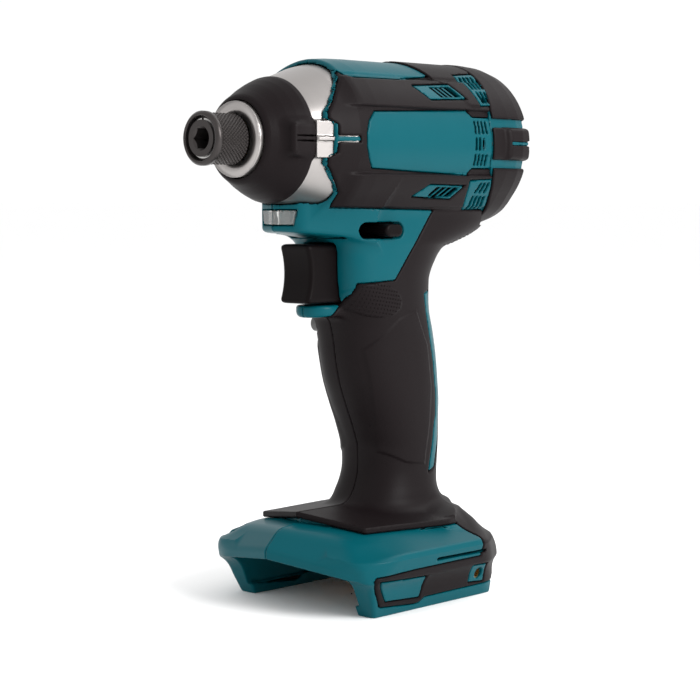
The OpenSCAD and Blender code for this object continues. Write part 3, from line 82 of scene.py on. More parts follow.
def polygonField(u, v, points):
    best = np.full(u.shape, 1e9, dtype=u.dtype)
    sign = np.ones(u.shape, dtype=u.dtype)
    for (au, av), (bu, bv) in zip(points, points[1:] + points[:1]):
        eu, ev = bu - au, bv - av
        wu, wv = u - au, v - av
        t = np.clip((wu * eu + wv * ev) / (eu * eu + ev * ev), 0.0, 1.0)
        best = np.minimum(best, (wu - eu * t) ** 2 + (wv - ev * t) ** 2)
        up, down, left = v >= av, v < bv, eu * wv > ev * wu
        sign = np.where((up & down & left) | ~(up | down | left), -sign, sign)
    return sign * np.sqrt(best)


def boxField(u, v, w, centre, half, r):
    a = np.abs(u - centre[0]) - half[0] + r
    b = np.abs(v - centre[1]) - half[1] + r
    c = np.abs(w - centre[2]) - half[2] + r
    out = np.sqrt(np.maximum(a, 0) ** 2 + np.maximum(b, 0) ** 2 + np.maximum(c, 0) ** 2)
    return out + np.minimum(largest(a, b, c), 0.0) - r


def capsuleField(u, v, a, b, r):
    eu, ev = b[0] - a[0], b[1] - a[1]
    t = np.clip(((u - a[0]) * eu + (v - a[1]) * ev) / (eu * eu + ev * ev), 0.0, 1.0)
    return np.hypot(u - a[0] - eu * t, v - a[1] - ev * t) - r


def smoothTable(rows, column):
    keys = np.array([r[0] for r in rows])
    vals = np.array([r[column] for r in rows], dtype=float)
    slope = np.diff(vals) / np.diff(keys)
    m = np.concatenate([slope[:1], (slope[1:] + slope[:-1]) / 2, slope[-1:]])
    flat = np.concatenate([[False], slope[1:] * slope[:-1] <= 0, [False]])
    m[flat] = 0.0
    fine = np.linspace(keys[0], keys[-1], 500)
    i = np.clip(np.searchsorted(keys, fine) - 1, 0, len(keys) - 2)
    h = keys[i + 1] - keys[i]
    t = (fine - keys[i]) / h
    curve = ((1 + 2 * t) * (1 - t) ** 2 * vals[i] + t * (1 - t) ** 2 * h * m[i]
             + t * t * (3 - 2 * t) * vals[i + 1] + t * t * (t - 1) * h * m[i + 1])
    return lambda z: np.interp(z, fine, curve).astype(z.dtype)


# Surface of a field: a net over the cells that hold it, drawn onto it afterwards

def fieldNormals(field, p, h):
    g = np.stack([field(*(p + o).T) - field(*(p - o).T) for o in np.eye(3, dtype=p.dtype) * h], axis=1)
    return g / np.maximum(np.linalg.norm(g, axis=1, keepdims=True), 1e-9)


def netOf(field, low, high, step):
    block = 8
    low = np.array(low, dtype=np.float32)
    counts = np.ceil((np.array(high) - low) / step / block).astype(int)
    centres = [low[i] + (np.arange(counts[i]) + 0.5) * block * step - step / 2 for i in range(3)]
    cx, cy, cz = [c.astype(np.float32) for c in np.meshgrid(*centres, indexing="ij")]
    coarse = field(cx.ravel(), cy.ravel(), cz.ravel()).reshape(counts)
    values = np.where(coarse < 0, -1.0, 1.0).astype(np.float32)
    values = values.repeat(block, 0).repeat(block, 1).repeat(block, 2)
    near = np.argwhere(np.abs(coarse) < block * step * 1.25 + 0.8)
    cell = np.stack(np.meshgrid(*[np.arange(block)] * 3, indexing="ij"), -1).reshape(-1, 3)
    for part in np.array_split(near, max(1, len(near) // 600)):
        at = (part[:, None, :] * block + cell[None]).reshape(-1, 3)
        p = low + at.astype(np.float32) * np.float32(step)
        values[at[:, 0], at[:, 1], at[:, 2]] = field(p[:, 0], p[:, 1], p[:, 2])
    inside = values < 0
    n = np.array(values.shape) - 1
    total = np.zeros(n, dtype=np.uint8)
    corners = [(i, j, k) for i in (0, 1) for j in (0, 1) for k in (0, 1)]
    for i, j, k in corners:
        total += inside[i:n[0] + i, j:n[1] + j, k:n[2] + k]
    active = np.argwhere((total > 0) & (total < 8))
    corner = np.stack([values[active[:, 0] + i, active[:, 1] + j, active[:, 2] + k]
                       for i, j, k in corners], 1)
    spot = np.zeros((len(active), 3), dtype=np.float64)
    hits = np.zeros((len(active), 1))
    for a, ca in enumerate(corners):
        for b, cb in enumerate(corners):
            if b > a and sum(abs(p - q) for p, q in zip(ca, cb)) == 1:
                va, vb = corner[:, a], corner[:, b]
                cross = (va < 0) != (vb < 0)
                t = np.where(cross, va / np.where(cross, va - vb, 1.0), 0.0)[:, None]
                spot += cross[:, None] * (np.array(ca) + t * (np.array(cb) - np.array(ca)))
                hits += cross[:, None]
    verts = (low + (active + spot / hits) * step).astype(np.float32)
    index = np.full(n, -1, dtype=np.int32)
    index[active[:, 0], active[:, 1], active[:, 2]] = np.arange(len(active))
    quads = []
    for ax in range(3):
        u, v = (ax + 1) % 3, (ax + 2) % 3
        a = [slice(1, -1)] * 3
        b = [slice(1, -1)] * 3
        a[ax], b[ax] = slice(0, -1), slice(1, None)
        first, second = inside[tuple(a)], inside[tuple(b)]
        at = np.argwhere(first != second)
        at[:, u] += 1
        at[:, v] += 1
        du, dv = np.eye(3, dtype=int)[u], np.eye(3, dtype=int)[v]
        ring = [index[tuple((at + o).T)] for o in (-du - dv, -dv, 0 * du, -du)]
        quad = np.stack(ring, 1)
        lead = inside[tuple(at.T)]
        quad[~lead] = quad[~lead][:, ::-1]
        quads.append(quad)
    quads = np.concatenate(quads)
    for _ in range(3):
        d = field(*verts.T)
        verts -= fieldNormals(field, verts, 0.06) * np.clip(d, -step, step)[:, None] * 0.9
    return verts, quads[(quads >= 0).all(1)]


def meshFrom(name, verts, faces):
    mesh = bpy.data.meshes.new(name)
    mesh.vertices.add(len(verts))
    mesh.vertices.foreach_set("co", (verts * 0.001).astype(np.float32).ravel())
    width = faces.shape[1]
    mesh.loops.add(len(faces) * width)
    mesh.loops.foreach_set("vertex_index", faces.astype(np.int32).ravel())
    mesh.polygons.add(len(faces))
    mesh.polygons.foreach_set("loop_start", np.arange(0, len(faces) * width, width, dtype=np.int32))
    mesh.update(calc_edges=True)
    mesh.validate()
    obj = bpy.data.objects.new(name, mesh)
    bpy.context.collection.objects.link(obj)
    return obj


def applied(obj):
    bpy.context.view_layer.update()
    done = bpy.data.meshes.new_from_object(obj.evaluated_get(bpy.context.evaluated_depsgraph_get()))
    obj.modifiers.clear()
    old = obj.data
    obj.data = done
    bpy.data.meshes.remove(old)
    done.name = obj.name
    return obj


def formed(name, field, low, high, step, most=190000):
    step = step * 1.0
    verts, quads = netOf(field, low, high, step)
    obj = meshFrom(name, verts, quads)
    if len(quads) * 2 > most:
        thin = obj.modifiers.new("thin", "DECIMATE")
        thin.ratio = most / (len(quads) * 2)
        applied(obj)
    p = np.empty(len(obj.data.vertices) * 3, dtype=np.float32)
    obj.data.vertices.foreach_get("co", p)
    normals = fieldNormals(field, p.reshape(-1, 3) * 1000, 0.1)
    obj.data.polygons.foreach_set("use_smooth", np.ones(len(obj.data.polygons), dtype=bool))
    obj.data.normals_split_custom_set_from_vertices(normals)
    print(name, len(obj.data.vertices), "points")
    return obj


# Materials

materials = {}


def finish(name, color, rough, metal=0.0, grain=0.0, grainSize=1.0, shine=0.28, drift=0.06):
    m = bpy.data.materials.new(name)
    m.use_nodes = True
    nodes, links = m.node_tree.nodes, m.node_tree.links
    shader = nodes["Principled BSDF"]
    shader.inputs["Metallic"].default_value = metal
    shader.inputs["Specular IOR Level"].default_value = shine
    where = nodes.new("ShaderNodeTexCoord")
    cloud = nodes.new("ShaderNodeTexNoise")
    cloud.inputs["Scale"].default_value = 60.0
    cloud.inputs["Detail"].default_value = 3.0
    links.new(where.outputs["Object"], cloud.inputs["Vector"])
    tone = nodes.new("ShaderNodeMix")
    tone.data_type = "RGBA"
    tone.inputs[6].default_value = (*[c * (1 - drift) for c in color], 1)
    tone.inputs[7].default_value = (*[min(1.0, c * (1 + drift)) for c in color], 1)
    links.new(cloud.outputs["Fac"], tone.inputs["Factor"])
    links.new(tone.outputs[2], shader.inputs["Base Color"])
    spread = nodes.new("ShaderNodeMapRange")
    spread.inputs["To Min"].default_value = max(0.02, rough - 0.05)
    spread.inputs["To Max"].default_value = rough + 0.05
    links.new(cloud.outputs["Fac"], spread.inputs["Value"])
    links.new(spread.outputs["Result"], shader.inputs["Roughness"])
    if grain:
        speck = nodes.new("ShaderNodeTexNoise")
        speck.inputs["Scale"].default_value = 1000.0 / grainSize
        speck.inputs["Detail"].default_value = 2.0
        links.new(where.outputs["Object"], speck.inputs["Vector"])
        bump = nodes.new("ShaderNodeBump")
        bump.inputs["Strength"].default_value = grain
        bump.inputs["Distance"].default_value = 0.0001
        links.new(speck.outputs["Fac"], bump.inputs["Height"])
        links.new(bump.outputs["Normal"], shader.inputs["Normal"])
    materials[name] = m
    return m


looks = {  # color, roughness, metal, grain, grain size, shine
    "housing": ((0.0003, 0.066, 0.083), 0.34, 0.0, 0.10, 0.45, 0.09),
    "overmould": ((0.0064, 0.0042, 0.0047), 0.48, 0.0, 0.35, 0.5, 0.08),
    "case_alloy": ((0.36, 0.34, 0.33), 0.34, 1.0, 0.12, 0.5, 0.5),
    "board": ((0.42, 0.38, 0.28), 0.6, 0.0, 0.0, 1.0, 0.28),
    "black_plastic": ((0.0032, 0.0019, 0.0021), 0.40, 0.0, 0.2, 0.5, 0.06),
    "terminal_plastic": ((0.50, 0.20, 0.03), 0.5, 0.0, 0.1, 0.5, 0.28),
    "brass": ((0.70, 0.50, 0.22), 0.3, 1.0, 0.05, 0.6, 0.5),
    "copper": ((0.70, 0.32, 0.16), 0.35, 1.0, 0.1, 0.6, 0.5),
    "lead": ((0.30, 0.02, 0.02), 0.5, 0.0, 0.05, 0.6, 0.28),
    "dark_steel": ((0.042, 0.037, 0.036), 0.34, 0.75, 0.1, 0.4, 0.4),
    "magnet": ((0.06, 0.055, 0.055), 0.6, 0.0, 0.1, 0.6, 0.28),
    "steel": ((0.50, 0.49, 0.48), 0.28, 1.0, 0.05, 0.5, 0.5),
    "nylon": ((0.70, 0.67, 0.60), 0.55, 0.0, 0.05, 0.6, 0.28),
    "screw": ((0.10, 0.10, 0.10), 0.38, 0.9, 0.05, 0.5, 0.4),
}
for name, look in looks.items():
    finish(name, *look)


def mathNode(tree, operation, a, b=None):
    n = tree.nodes.new("ShaderNodeMath")
    n.operation = operation
    for socket, v in zip(n.inputs, (a, b)):
        if v is None:
            continue
        if isinstance(v, (int, float)):
            socket.default_value = v
        else:
            tree.links.new(v, socket)
    return n.outputs[0]


# LED spots on the board: the amber ring is the chips' own colour, the white middle is a painted highlight
ledColourAndHighlight = {"apart": 0.0032, "height": 0.130, "scale": 500.0, "middle": (0.35, (1.0, 0.9, 0.7, 1)),
        "warm": (0.6, (0.62, 0.33, 0.08, 1)), "dark": (0.85, (0.22, 0.20, 0.17, 1))}
spots = materials["board"].node_tree  # two lamps on the board: each a warm ring of the chips' own amber round a painted white highlight in the middle
apart = spots.nodes.new("ShaderNodeSeparateXYZ")
spots.links.new(spots.nodes["Texture Coordinate"].outputs["Object"], apart.inputs[0])
across = mathNode(spots, "SUBTRACT", mathNode(spots, "ABSOLUTE", apart.outputs[1]), ledColourAndHighlight["apart"])
above = mathNode(spots, "SUBTRACT", apart.outputs[2], ledColourAndHighlight["height"])
gap = mathNode(spots, "ADD", mathNode(spots, "POWER", across, 2.0), mathNode(spots, "POWER", above, 2.0))
gap = mathNode(spots, "SQRT", gap)
ramp = spots.nodes.new("ShaderNodeValToRGB")
stops = ramp.color_ramp.elements
stops[0].position, stops[0].color = ledColourAndHighlight["middle"]
stops[1].position, stops[1].color = ledColourAndHighlight["dark"]
stops.new(ledColourAndHighlight["warm"][0]).color = ledColourAndHighlight["warm"][1]
spots.links.new(mathNode(spots, "MULTIPLY", gap, ledColourAndHighlight["scale"]), ramp.inputs["Fac"])
spots.links.new(ramp.outputs["Color"], spots.nodes["Principled BSDF"].inputs["Base Color"])

clearLook = {"Base Color": (0.80, 0.80, 0.78, 1), "Roughness": 0.05, "Transmission Weight": 0.88, "IOR": 1.45}
clear = bpy.data.materials.new("lens")
clear.use_nodes = True
for label, value in clearLook.items():
    clear.node_tree.nodes["Principled BSDF"].inputs[label].default_value = value
materials["lens"] = clear
print("materials made")


# Main form of the housing

grip = {  # height, front, rear, half width
    "rows": [(28, 2, -38, 17.2), (34, 0.5, -36.2, 16.2), (38, -1.5, -35.4, 15.4), (43, -3.0, -35.6, 15.0),
             (50, -3.1, -36.0, 15.2), (58, -0.8, -36.2, 15.6), (66, 2.7, -36.6, 16.0),
             (74, 5.9, -36.2, 16.2), (82, 7.8, -35.2, 16.3), (90, 9.2, -33.4, 16.4),
             (98, 11.6, -31.0, 17.0), (104, 13.8, -30.4, 17.5), (108, 14.6, -30.4, 17.8),
             (111, 14.8, -31.2, 18.0), (114.6, 15.0, -33.4, 18.2), (117.5, 15.0, -35.8, 18.3),
             (119.8, 15.1, -39.3, 18.4), (121.5, 15.2, -46, 18.5), (124.4, 15.2, -56, 18.5),
             (127.8, 15.2, -63, 18.5), (131, 15.2, -65, 18.5), (142, 15.2, -66, 18.5)],
    "power": [(20, 2.5), (92, 2.5), (100, 2.9), (107, 3.5), (140, 3.6)], "rearPower": 2.3,
}
gripFront, gripRear, gripHalf = [smoothTable(grip["rows"], c) for c in (1, 2, 3)]
gripPower = smoothTable(grip["power"], 1)


def gripField(x, y, z):
    front, rear, b = gripFront(z), gripRear(z), gripHalf(z)
    a, middle = (front - rear) / 2, (front + rear) / 2
    n = np.where(x > middle, gripPower(z), grip["rearPower"]).astype(x.dtype)
    u = np.abs(x - middle) / a + 1e-4
    v = np.abs(y) / b + 1e-4
    q = (u ** n + v ** n) ** (1 / n)
    gx = (u / q) ** (n - 1) / a
    gy = (v / q) ** (n - 1) / b
    d = (q - 1) / np.maximum(np.hypot(gx, gy), 0.5 / a) * 0.95
    return largest(d, 26 - z, z - 140)


barrel = {
    "taper": ([-60, 8, 15, 22.5, 29, 35], [0, 0, 0.15, 0.7, 2.0, 3.6]),
    "side": 26.8, "ridge": 1.35, "top": 0.8,
    "lip": ([133, 138, 146.8, 149.0, 150.8, 159.8, 161.6, 163.6, 178, 184],
            [26.4, 26.8, 34.6, 35.0, 31.9, 31.7, 34.8, 34.4, 22.3, 20.3]),
    "seam": ([126, 129.3, 143.3, 149, 161, 166.7, 179, 184],
             [-51, -49.9, -43.6, -42.0, -41.7, -42, -45, -45.6]),
}


def ridgeOf(dz):
    upper = smoothStep(10.4, 11.6, dz) * (1 - smoothStep(20.4, 21.4, dz))
    lower = smoothStep(10.2, 11.4, -dz) * (1 - smoothStep(21.4, 22.4, -dz))
    return upper + lower


def lipAt(z):
    return np.interp(z, *barrel["lip"]).astype(z.dtype)


def seamAt(z):
    return np.interp(z, *barrel["seam"]).astype(z.dtype)


def barrelRadius(x, z):
    dz = z - axisZ
    fade = 1 - smoothStep(20, 28, x)
    swell = barrel["ridge"] * ridgeOf(dz) * fade + barrel["top"] * smoothStep(20.8, 23, dz)
    swell = swell + 0.35 * smoothStep(-36, -39, x) * smoothStep(5.5, 3, np.abs(dz))  # over the cover screws
    return barrel["side"] + swell - np.interp(x, *barrel["taper"]).astype(x.dtype)


def barrelField(x, y, z):
    return np.hypot(y, z - axisZ) - barrelRadius(x, z)


chin = {"front": 37.5, "slope": 0.42, "corner": 37, "half": 8.4, "flare": 0.335, "under": 125.4, "rise": 0.09}


def chinField(x, y, z):
    ay = np.abs(y)
    behind = chin["corner"] - x
    side = (ay - chin["half"] - behind * chin["flare"]) * 0.95
    f = smoothMax((x - chin["front"] + ay * chin["slope"]) * 0.92, side, 2.0)
    f = smoothMax(f, chin["under"] - behind * chin["rise"] - z, 1.8)
    return largest(f, z - 138, 8 - x)


collar = {"middle": 16.4, "round": 7.2, "flare": 0.22, "top": 100.7, "under": 96.4, "rise": 0.02}


def collarField(x, y, z):  # teal nose under the trigger
    end = np.hypot(np.maximum(x - collar["middle"], 0), y) - collar["round"]
    f = smoothMax(end, (np.abs(y) - collar["round"] - (26 - x) * collar["flare"]) * 0.95, 1.5)
    f = smoothMax(f, z - collar["top"], 1.2)
    return largest(smoothMax(f, collar["under"] + (24 - x) * collar["rise"] - z, 2.4), 6 - x)


foot = {"apex": 41.0, "sweep": 0.24, "half": 38.0, "droop": 0.133, "skirt": 17.8, "fold": 21.2,
        "waist": 20.8, "rear": 46.0}


def footPlanes(x, ay, z):
    ahead = x + foot["sweep"] * ay
    w = z + foot["droop"] * ay
    front = (ahead - foot["apex"]) * 0.972
    corner = smoothMax(0.62 * (x - 33.0) + 0.785 * (ay - 31.0),
                       0.7 * (0.693 * x + 0.72 * ay - 43.0) + 0.714 * (z - 20), 2.0)
    bevel = (0.696 * (ahead - foot["apex"]) + 0.718 * (w - foot["fold"])) * 0.97
    upper = 0.382 * (ay - foot["half"]) + 0.924 * (z - foot["waist"])
    lower = 0.961 * (ay - foot["half"]) - 0.277 * (z - foot["waist"])
    roof = z - 27.4 - 0.15 * (34.5 - ahead) + 0.107 * ay
    tail = smoothMax(-x - foot["rear"], -0.95 * (x + 42) + 0.316 * (ay - 29), 3.0)
    tail = smoothMax(tail, -0.49 * (x + 27) + 0.87 * (ay - foot["half"] + 0.9), 3.0)
    tail = smoothMax(tail, -0.62 * (x + 36) + 0.785 * (z - 27.5), 4.0)
    tail = smoothMax(tail, 0.78 * (0.72 * ay - 0.693 * x - 41.0) + 0.62 * (z - 27), 3.0)
    side = smoothMax(upper, lower, 0.9)
    f = smoothMax(front, corner, 4.0)
    f = smoothMax(f, smoothMax(side, tail, 2.0), 4.0)
    f = smoothMax(f, bevel, 1.0)
    return smoothMax(f, smoothMax(roof, z - 28.4, 2.0), 1.6)


def footField(x, y, z):
    ay = np.abs(y)
    planes = footPlanes(x, ay, z)
    upper = smoothMax(planes, np.maximum(foot["skirt"] - 0.133 * ay, 13.9) - z, 0.7)
    legFront = (x - 28.6 + (14 - z) * 0.42) * 0.92
    legRear = (-x - 42.5 + (14 - z) * 0.38) * 0.93
    legs = smoothMax(smoothMax(planes, largest(legFront, legRear), 1.6), 24.4 - ay, 1.0)
    legs = largest(legs, -z, z - 18)
    f = smoothMin(upper, legs, 6.0)
    back = smoothMax(smoothMax(planes, x + 40.5, 1.0), 4.5 - z, 1.0)
    return np.minimum(largest(f, -z), back)


plate = {"front": 26.3, "sweep": 0.30, "half": 24.6, "rear": 40, "corner": 35.0, "thick": 2.4,
         "top": 31.8, "droop": 0.143, "tail": 29, "fall": 0.45}
neck = {"front": 24.4, "sweep": 0.345, "half": 21.4, "rear": 38, "corner": 33.5, "under": 22, "gap": 0.6}


def plateTop(ay):
    return plate["top"] - plate["droop"] * ay


def plateSide(x, ay, half):
    return 0.1426 * (x - 18.1) + 0.99 * (ay - half)


def plateCorner(x, ay, corner):
    return 0.72 * ay - 0.693 * x - corner


def plateField(x, y, z):  # thin lip where the grip flares over the foot
    ay = np.abs(y)
    front = (x - plate["front"] + plate["sweep"] * ay) * 0.958
    f = smoothMax(front, plateSide(x, ay, plate["half"]), 0.9)
    f = smoothMax(f, smoothMax(-x - plate["rear"], plateCorner(x, ay, plate["corner"]), 6.0), 3.0)
    top = z - plateTop(ay) + plate["fall"] * np.maximum(-x - plate["tail"], 0)
    return smoothMax(f, largest(top, -top - plate["thick"] - 0.02 * np.maximum(-x, 0)), 0.4)


def neckField(x, y, z):
    ay = np.abs(y)
    front = (x - neck["front"] + neck["sweep"] * ay) * 0.945
    f = largest(front, plateSide(x, ay, neck["half"]), -x - neck["rear"], plateCorner(x, ay, neck["corner"]))
    return largest(f, z - plateTop(ay) + neck["gap"], neck["under"] - z)


strap = [(-15.6, 186), (-20.6, 177.4), (-32.2, 167.6), (-60, 167.6), (-60, 190)]
palm = [(5.4, 85.5), (1.4, 70), (-4.5, 50), (-12, 46.2), (-20.5, 45), (-22.6, 60), (-23.2, 72), (-21, 86),
        (-14, 98), (-5.7, 95.5)]


pad = {"centre": (4.0, 102.2), "half": (10.9, 5.8), "tilt": 0.16, "pitch": 1.15, "stud": 0.36, "rise": 0.26}


def padShare(x, z):  # 1 on the edge of the oval thumb pad
    u, v = x - pad["centre"][0], z - pad["centre"][1]
    return np.hypot((u + v * pad["tilt"]) / pad["half"][0], (v - u * pad["tilt"]) / pad["half"][1])


def outerField(x, y, z):
    b = barrelField(x, y, z)
    b = smoothMax(smoothMax(b, x - lipAt(z), 0.9), seamAt(z) - x, 0.35)
    g = smoothMin(gripField(x, y, z), collarField(x, y, z), 2.5)
    f = smoothMin(b, g, 5.0)
    f = smoothMin(f, chinField(x, y, z), 6.0)
    f = np.where(z > 127, np.maximum(f, seamAt(z) - x), f).astype(float)
    f = f - 0.55 * smoothStep(0.5, -0.6, polygonField(x, z, strap))
    f = f - 0.4 * smoothStep(0.6, -0.4, polygonField(x, z, palm))
    f = f - 0.35 * smoothStep(1.0, 0.9, padShare(x, z)) * (np.abs(y) > 6)
    low = np.where(z < 60, smoothMin(f, plateField(x, y, z), 4.5), f)
    base = np.minimum(footField(x, y, z), neckField(x, y, z))
    return smoothMin(low, base, 0.3 + 6.0 * smoothStep(-13, -27, x))  # plate and foot join at the rear


# Two-colour areas in the side view

areas = {
    "barrelBlack": [(60, 178.0), (22.4, 177.6), (18.4, 175.4), (-3, 175.6), (-20.6, 177.2), (-15.6, 186),
                    (-15, 192), (-60, 192), (-60, 131), (-20.6, 132.2), (-3, 132.6), (23.4, 133.2),
                    (60, 133.4)],
    "gripBlack": [(-20.8, 132.4), (-2.6, 108.9), (11.2, 108.1), (13.2, 100.4), (16.5, 97.2), (24, 96),
                  (60, 96), (60, 15), (-60, 15), (-60, 132.4)],
    "footBlack": [(-60, 40), (-17, 40), (-20.4, 27.0), (-24.4, 21.4), (-23.9, 15.2), (-10.4, 15.2),
                  (9.6, 15.1), (26.4, 14.5), (26.9, 13.2), (21.6, 4.0), (20.6, 3.4), (3.0, 2.0),
                  (1.2, 2.4), (-0.8, 3.8), (-60, 4.2)],
    "panel": [(15.2, 164.3), (-30.6, 166.0), (-33.2, 163.8), (-60, 163.8), (-60, 146.6), (-33, 146.4),
              (-30.8, 144.0), (16.3, 146.0), (18.4, 149.4), (19.7, 153), (19.8, 157), (18.4, 161)],
    "stripe": [(40, 154.3), (22.6, 154.3), (22.6, 156.1), (40, 156.1)],
    "upperVent": [(-7.2, 173.6), (-25.8, 174.8), (-31.4, 169.9), (-13.2, 169.0)],
    "lowerVent": [(-13.0, 140.9), (-31.0, 140.6), (-26.2, 136.0), (-6.4, 136.8)],
    "upperTail": [(-34.0, 178.4), (-60, 180.6), (-60, 168.4), (-43.8, 168.0), (-37.6, 167.7)],
    "lowerTail": [(-32.6, 142.4), (-60, 143.4), (-60, 132), (-47.5, 131.2), (-36.0, 131.8)],
    "strip": [(-19.6, 103.6), (-21.9, 95.5), (-24.1, 87.4), (-25.9, 79.5), (-26.8, 72), (-27.4, 69),
              (-27.4, 61), (-26.4, 58.5), (-25.0, 50), (-23.2, 41.6), (-27.2, 43), (-30.6, 54),
              (-32.0, 63), (-32.4, 72), (-31.6, 80), (-29.6, 87.6), (-27.2, 95.6), (-24.2, 104.6)],
    "plate": [(24.6, 12.9), (1.6, 11.7), (2.2, 4.2), (18.9, 5.2)],
    "hookPlate": [(-21.9, 11.9), (-29.9, 11.6), (-30.4, 5.0), (-22.4, 5.6)],
}


def blackArea(x, y, z):
    a = {name: polygonField(x, z, points) for name, points in areas.items()}
    up = np.maximum(a["barrelBlack"], (x - lipAt(z) + 1.0) * 0.8)
    for hole in ("panel", "stripe", "upperVent", "lowerVent", "upperTail", "lowerTail"):
        up = np.maximum(up, -a[hole])
    low = np.maximum(a["gripBlack"], plateTop(np.abs(y)) - 2.2 - z)
    low = np.minimum(low, a["footBlack"])
    for hole in ("strip", "plate", "hookPlate"):
        low = np.maximum(low, -a[hole])
    return np.minimum(up, low)


def slotRow(x, z, corners, count, width, ends):
    (ax, az), (bx, bz), (cx, cz), (dx, dz) = corners
    best = np.full(x.shape, 1e9, dtype=x.dtype)
    for i in range(count):
        t = (i + 0.5) / count
        top = (ax + (bx - ax) * t, az + (bz - az) * t)
        low = (dx + (cx - dx) * t, dz + (cz - dz) * t)
        a = (top[0] + (low[0] - top[0]) * ends, top[1] + (low[1] - top[1]) * ends)
        b = (low[0] + (top[0] - low[0]) * ends, low[1] + (top[1] - low[1]) * ends)
        best = np.minimum(best, capsuleField(x, z, a, b, width / 2))
    return best


vents = [
    ([(-33.0, 162.6), (-40.4, 162.6), (-40.4, 158.2), (-33.0, 158.2)], 4, 1.05, 0.1),
    ([(-33.2, 156.8), (-40.6, 156.8), (-40.6, 152.6), (-33.2, 152.6)], 4, 1.05, 0.1),
    ([(-33.0, 151.2), (-40.4, 151.2), (-40.4, 147.4), (-33.0, 147.4)], 4, 1.05, 0.1),
    ([(-35.4, 177.4), (-44.2, 178.0), (-44.4, 174.0), (-36.8, 173.6)], 4, 1.25, 0.1),
    ([(-37.6, 172.4), (-43.8, 172.4), (-43.4, 169.0), (-38.6, 168.8)], 3, 1.25, 0.1),
    ([(-38.2, 141.4), (-44.0, 141.6), (-44.2, 138.4), (-37.0, 138.2)], 3, 1.2, 0.1),
    ([(-37.2, 137.0), (-45.2, 137.0), (-46.6, 133.0), (-37.4, 132.8)], 4, 1.2, 0.1),
]


windows = {  # open vents with slanted bars: corners from front top round to front low
    "upper": [(-15.4, 173.2), (-25.4, 173.8), (-28.9, 170.6), (-19.0, 170.1)],
    "lower": [(-16.8, 140.0), (-28.8, 139.9), (-25.5, 136.9), (-14.2, 137.1)],
    "bars": 4, "barWidth": 0.45, "barDepth": 0.4, "sink": 0.5,
}


def ventField(x, y, z):
    best = np.minimum(polygonField(x, z, windows["upper"]), polygonField(x, z, windows["lower"]))
    for corners, count, width, ends in vents:
        best = np.minimum(best, slotRow(x, z, corners, count, width, ends))
    floor = np.where((x < -38.2) & (np.abs(z - axisZ) < 3), 26.98, 12.0)  # shallow over the cover screws
    return np.maximum(best, floor.astype(x.dtype) - np.abs(y))


case = {"profile": [(4, 24.4), (19.8, 24.4), (20, 25.3), (21.5, 25.2), (26, 24.2), (31, 22.5),
                    (37.7, 20.2), (38, 20.0)],
        "rear": 3.1, "front": 54.15, "cheek": 5.9, "cheekY": 22.7, "rib": 0.7, "ribY": 23.3, "lean": 0.16,
        "seat": ([37.8, 46, 47.5, 54.2], [18.4, 14.2, 12.2, 12.2]),
        "hammerBore": ([20, 35.6], [21.3, 18.6]), "anvilBore": 15.7, "bushBore": 9.6}


def caseRadius(x):
    xs, rs = zip(*case["profile"])
    return np.interp(x, xs, rs).astype(x.dtype)


def roomField(x, y, z):  # hollow of the housing
    ay = np.abs(y)
    rho = np.hypot(y, z - axisZ)
    room = largest(rho - np.where(x < -8.5, 24.8, 24.7), -60 - x, x - 20)
    nose = largest(rho - caseRadius(x) - 0.35, 18 - x)
    shaft = largest(gripField(x, y, z) + 3.9, 30 - z)
    bowl = largest(footPlanes(x, ay, z) + 4.0, 16.6 - z)
    well = largest(np.hypot(x + 14, y * 1.15) - 13, 20 - z, z - 40)
    return smallest(room, nose, shaft, bowl, well)


lens = {"middle": 130, "half": 2.3, "wide": 7.6, "lean": 0.22, "top": 132.3, "front": 37.6, "rear": 33.6}


def lensEnds(ay, z):
    side = (ay - lens["wide"] + (lens["top"] - z) * lens["lean"]) * 0.97
    return smoothMax(np.abs(z - lens["middle"]) - lens["half"], side, 0.5)


openings = {  # centre, half size and corner radius of each box
    "trigger": ((32, 0, 111.3), (22.0, 7.25, 10.2), 1.0), "flange": ((6.2, 0, 111.4), (5, 8.8, 11.8), 0.5),
    "lever": ((5, 0, 125.6), (12.9, 13, 2.5), 0.3), "block": ((-15, 0, 15), (17.4, 15.4, 5), 0.2),
    "leverSlot": ((-3.6, 125.6), (10.8, 125.6), 2.75), "sideSlot": ((-1.6, 17.1), (-26, 16.8), 0.5),
    "hook": (-27, 8.4), "hookBore": 1.9, "hookSeat": 2.9, "bayHalf": 26.5, "railHalf": 24.0,
}


def openingField(x, y, z):
    ay = np.abs(y)
    boxes = [boxField(x, y, z, *openings[name]) for name in ("trigger", "flange", "lever", "block")]
    leverSlot = np.maximum(capsuleField(x, z, *openings["leverSlot"]), 8 - ay)
    sideSlot = np.maximum(capsuleField(x, z, *openings["sideSlot"]), 33 - ay)
    bay = largest(ay - np.where(z < 3.6, openings["railHalf"], openings["bayHalf"]), z - 14.0, -40 - x)
    light = largest(33 - x - chin["slope"] * ay, lensEnds(ay, z) - 0.4)
    hookX, hookZ = openings["hook"]
    hookRadius = np.where(ay > 33, openings["hookBore"], openings["hookSeat"])
    hook = largest(np.hypot(x - hookX, z - hookZ) - hookRadius, 26 - ay)
    return smallest(leverSlot, sideSlot, bay, light, hook, *boxes)


screws = {"spots": [(26, 127.5), (-24, 124), (5.5, 93.5), (-26, 70), (-28, 46), (25, 21), (-36, 21)],
          "well": 3.3, "seat": 9.0, "bore": 1.5, "boss": 4.8}


def screwDistance(x, z):
    return smallest(*[np.hypot(x - sx, z - sz) for sx, sz in screws["spots"]])


def wellField(x, y, z):
    r = screwDistance(x, z)
    return np.minimum(largest(r - screws["well"], y + screws["seat"]), r - screws["bore"])


skin = 1.2


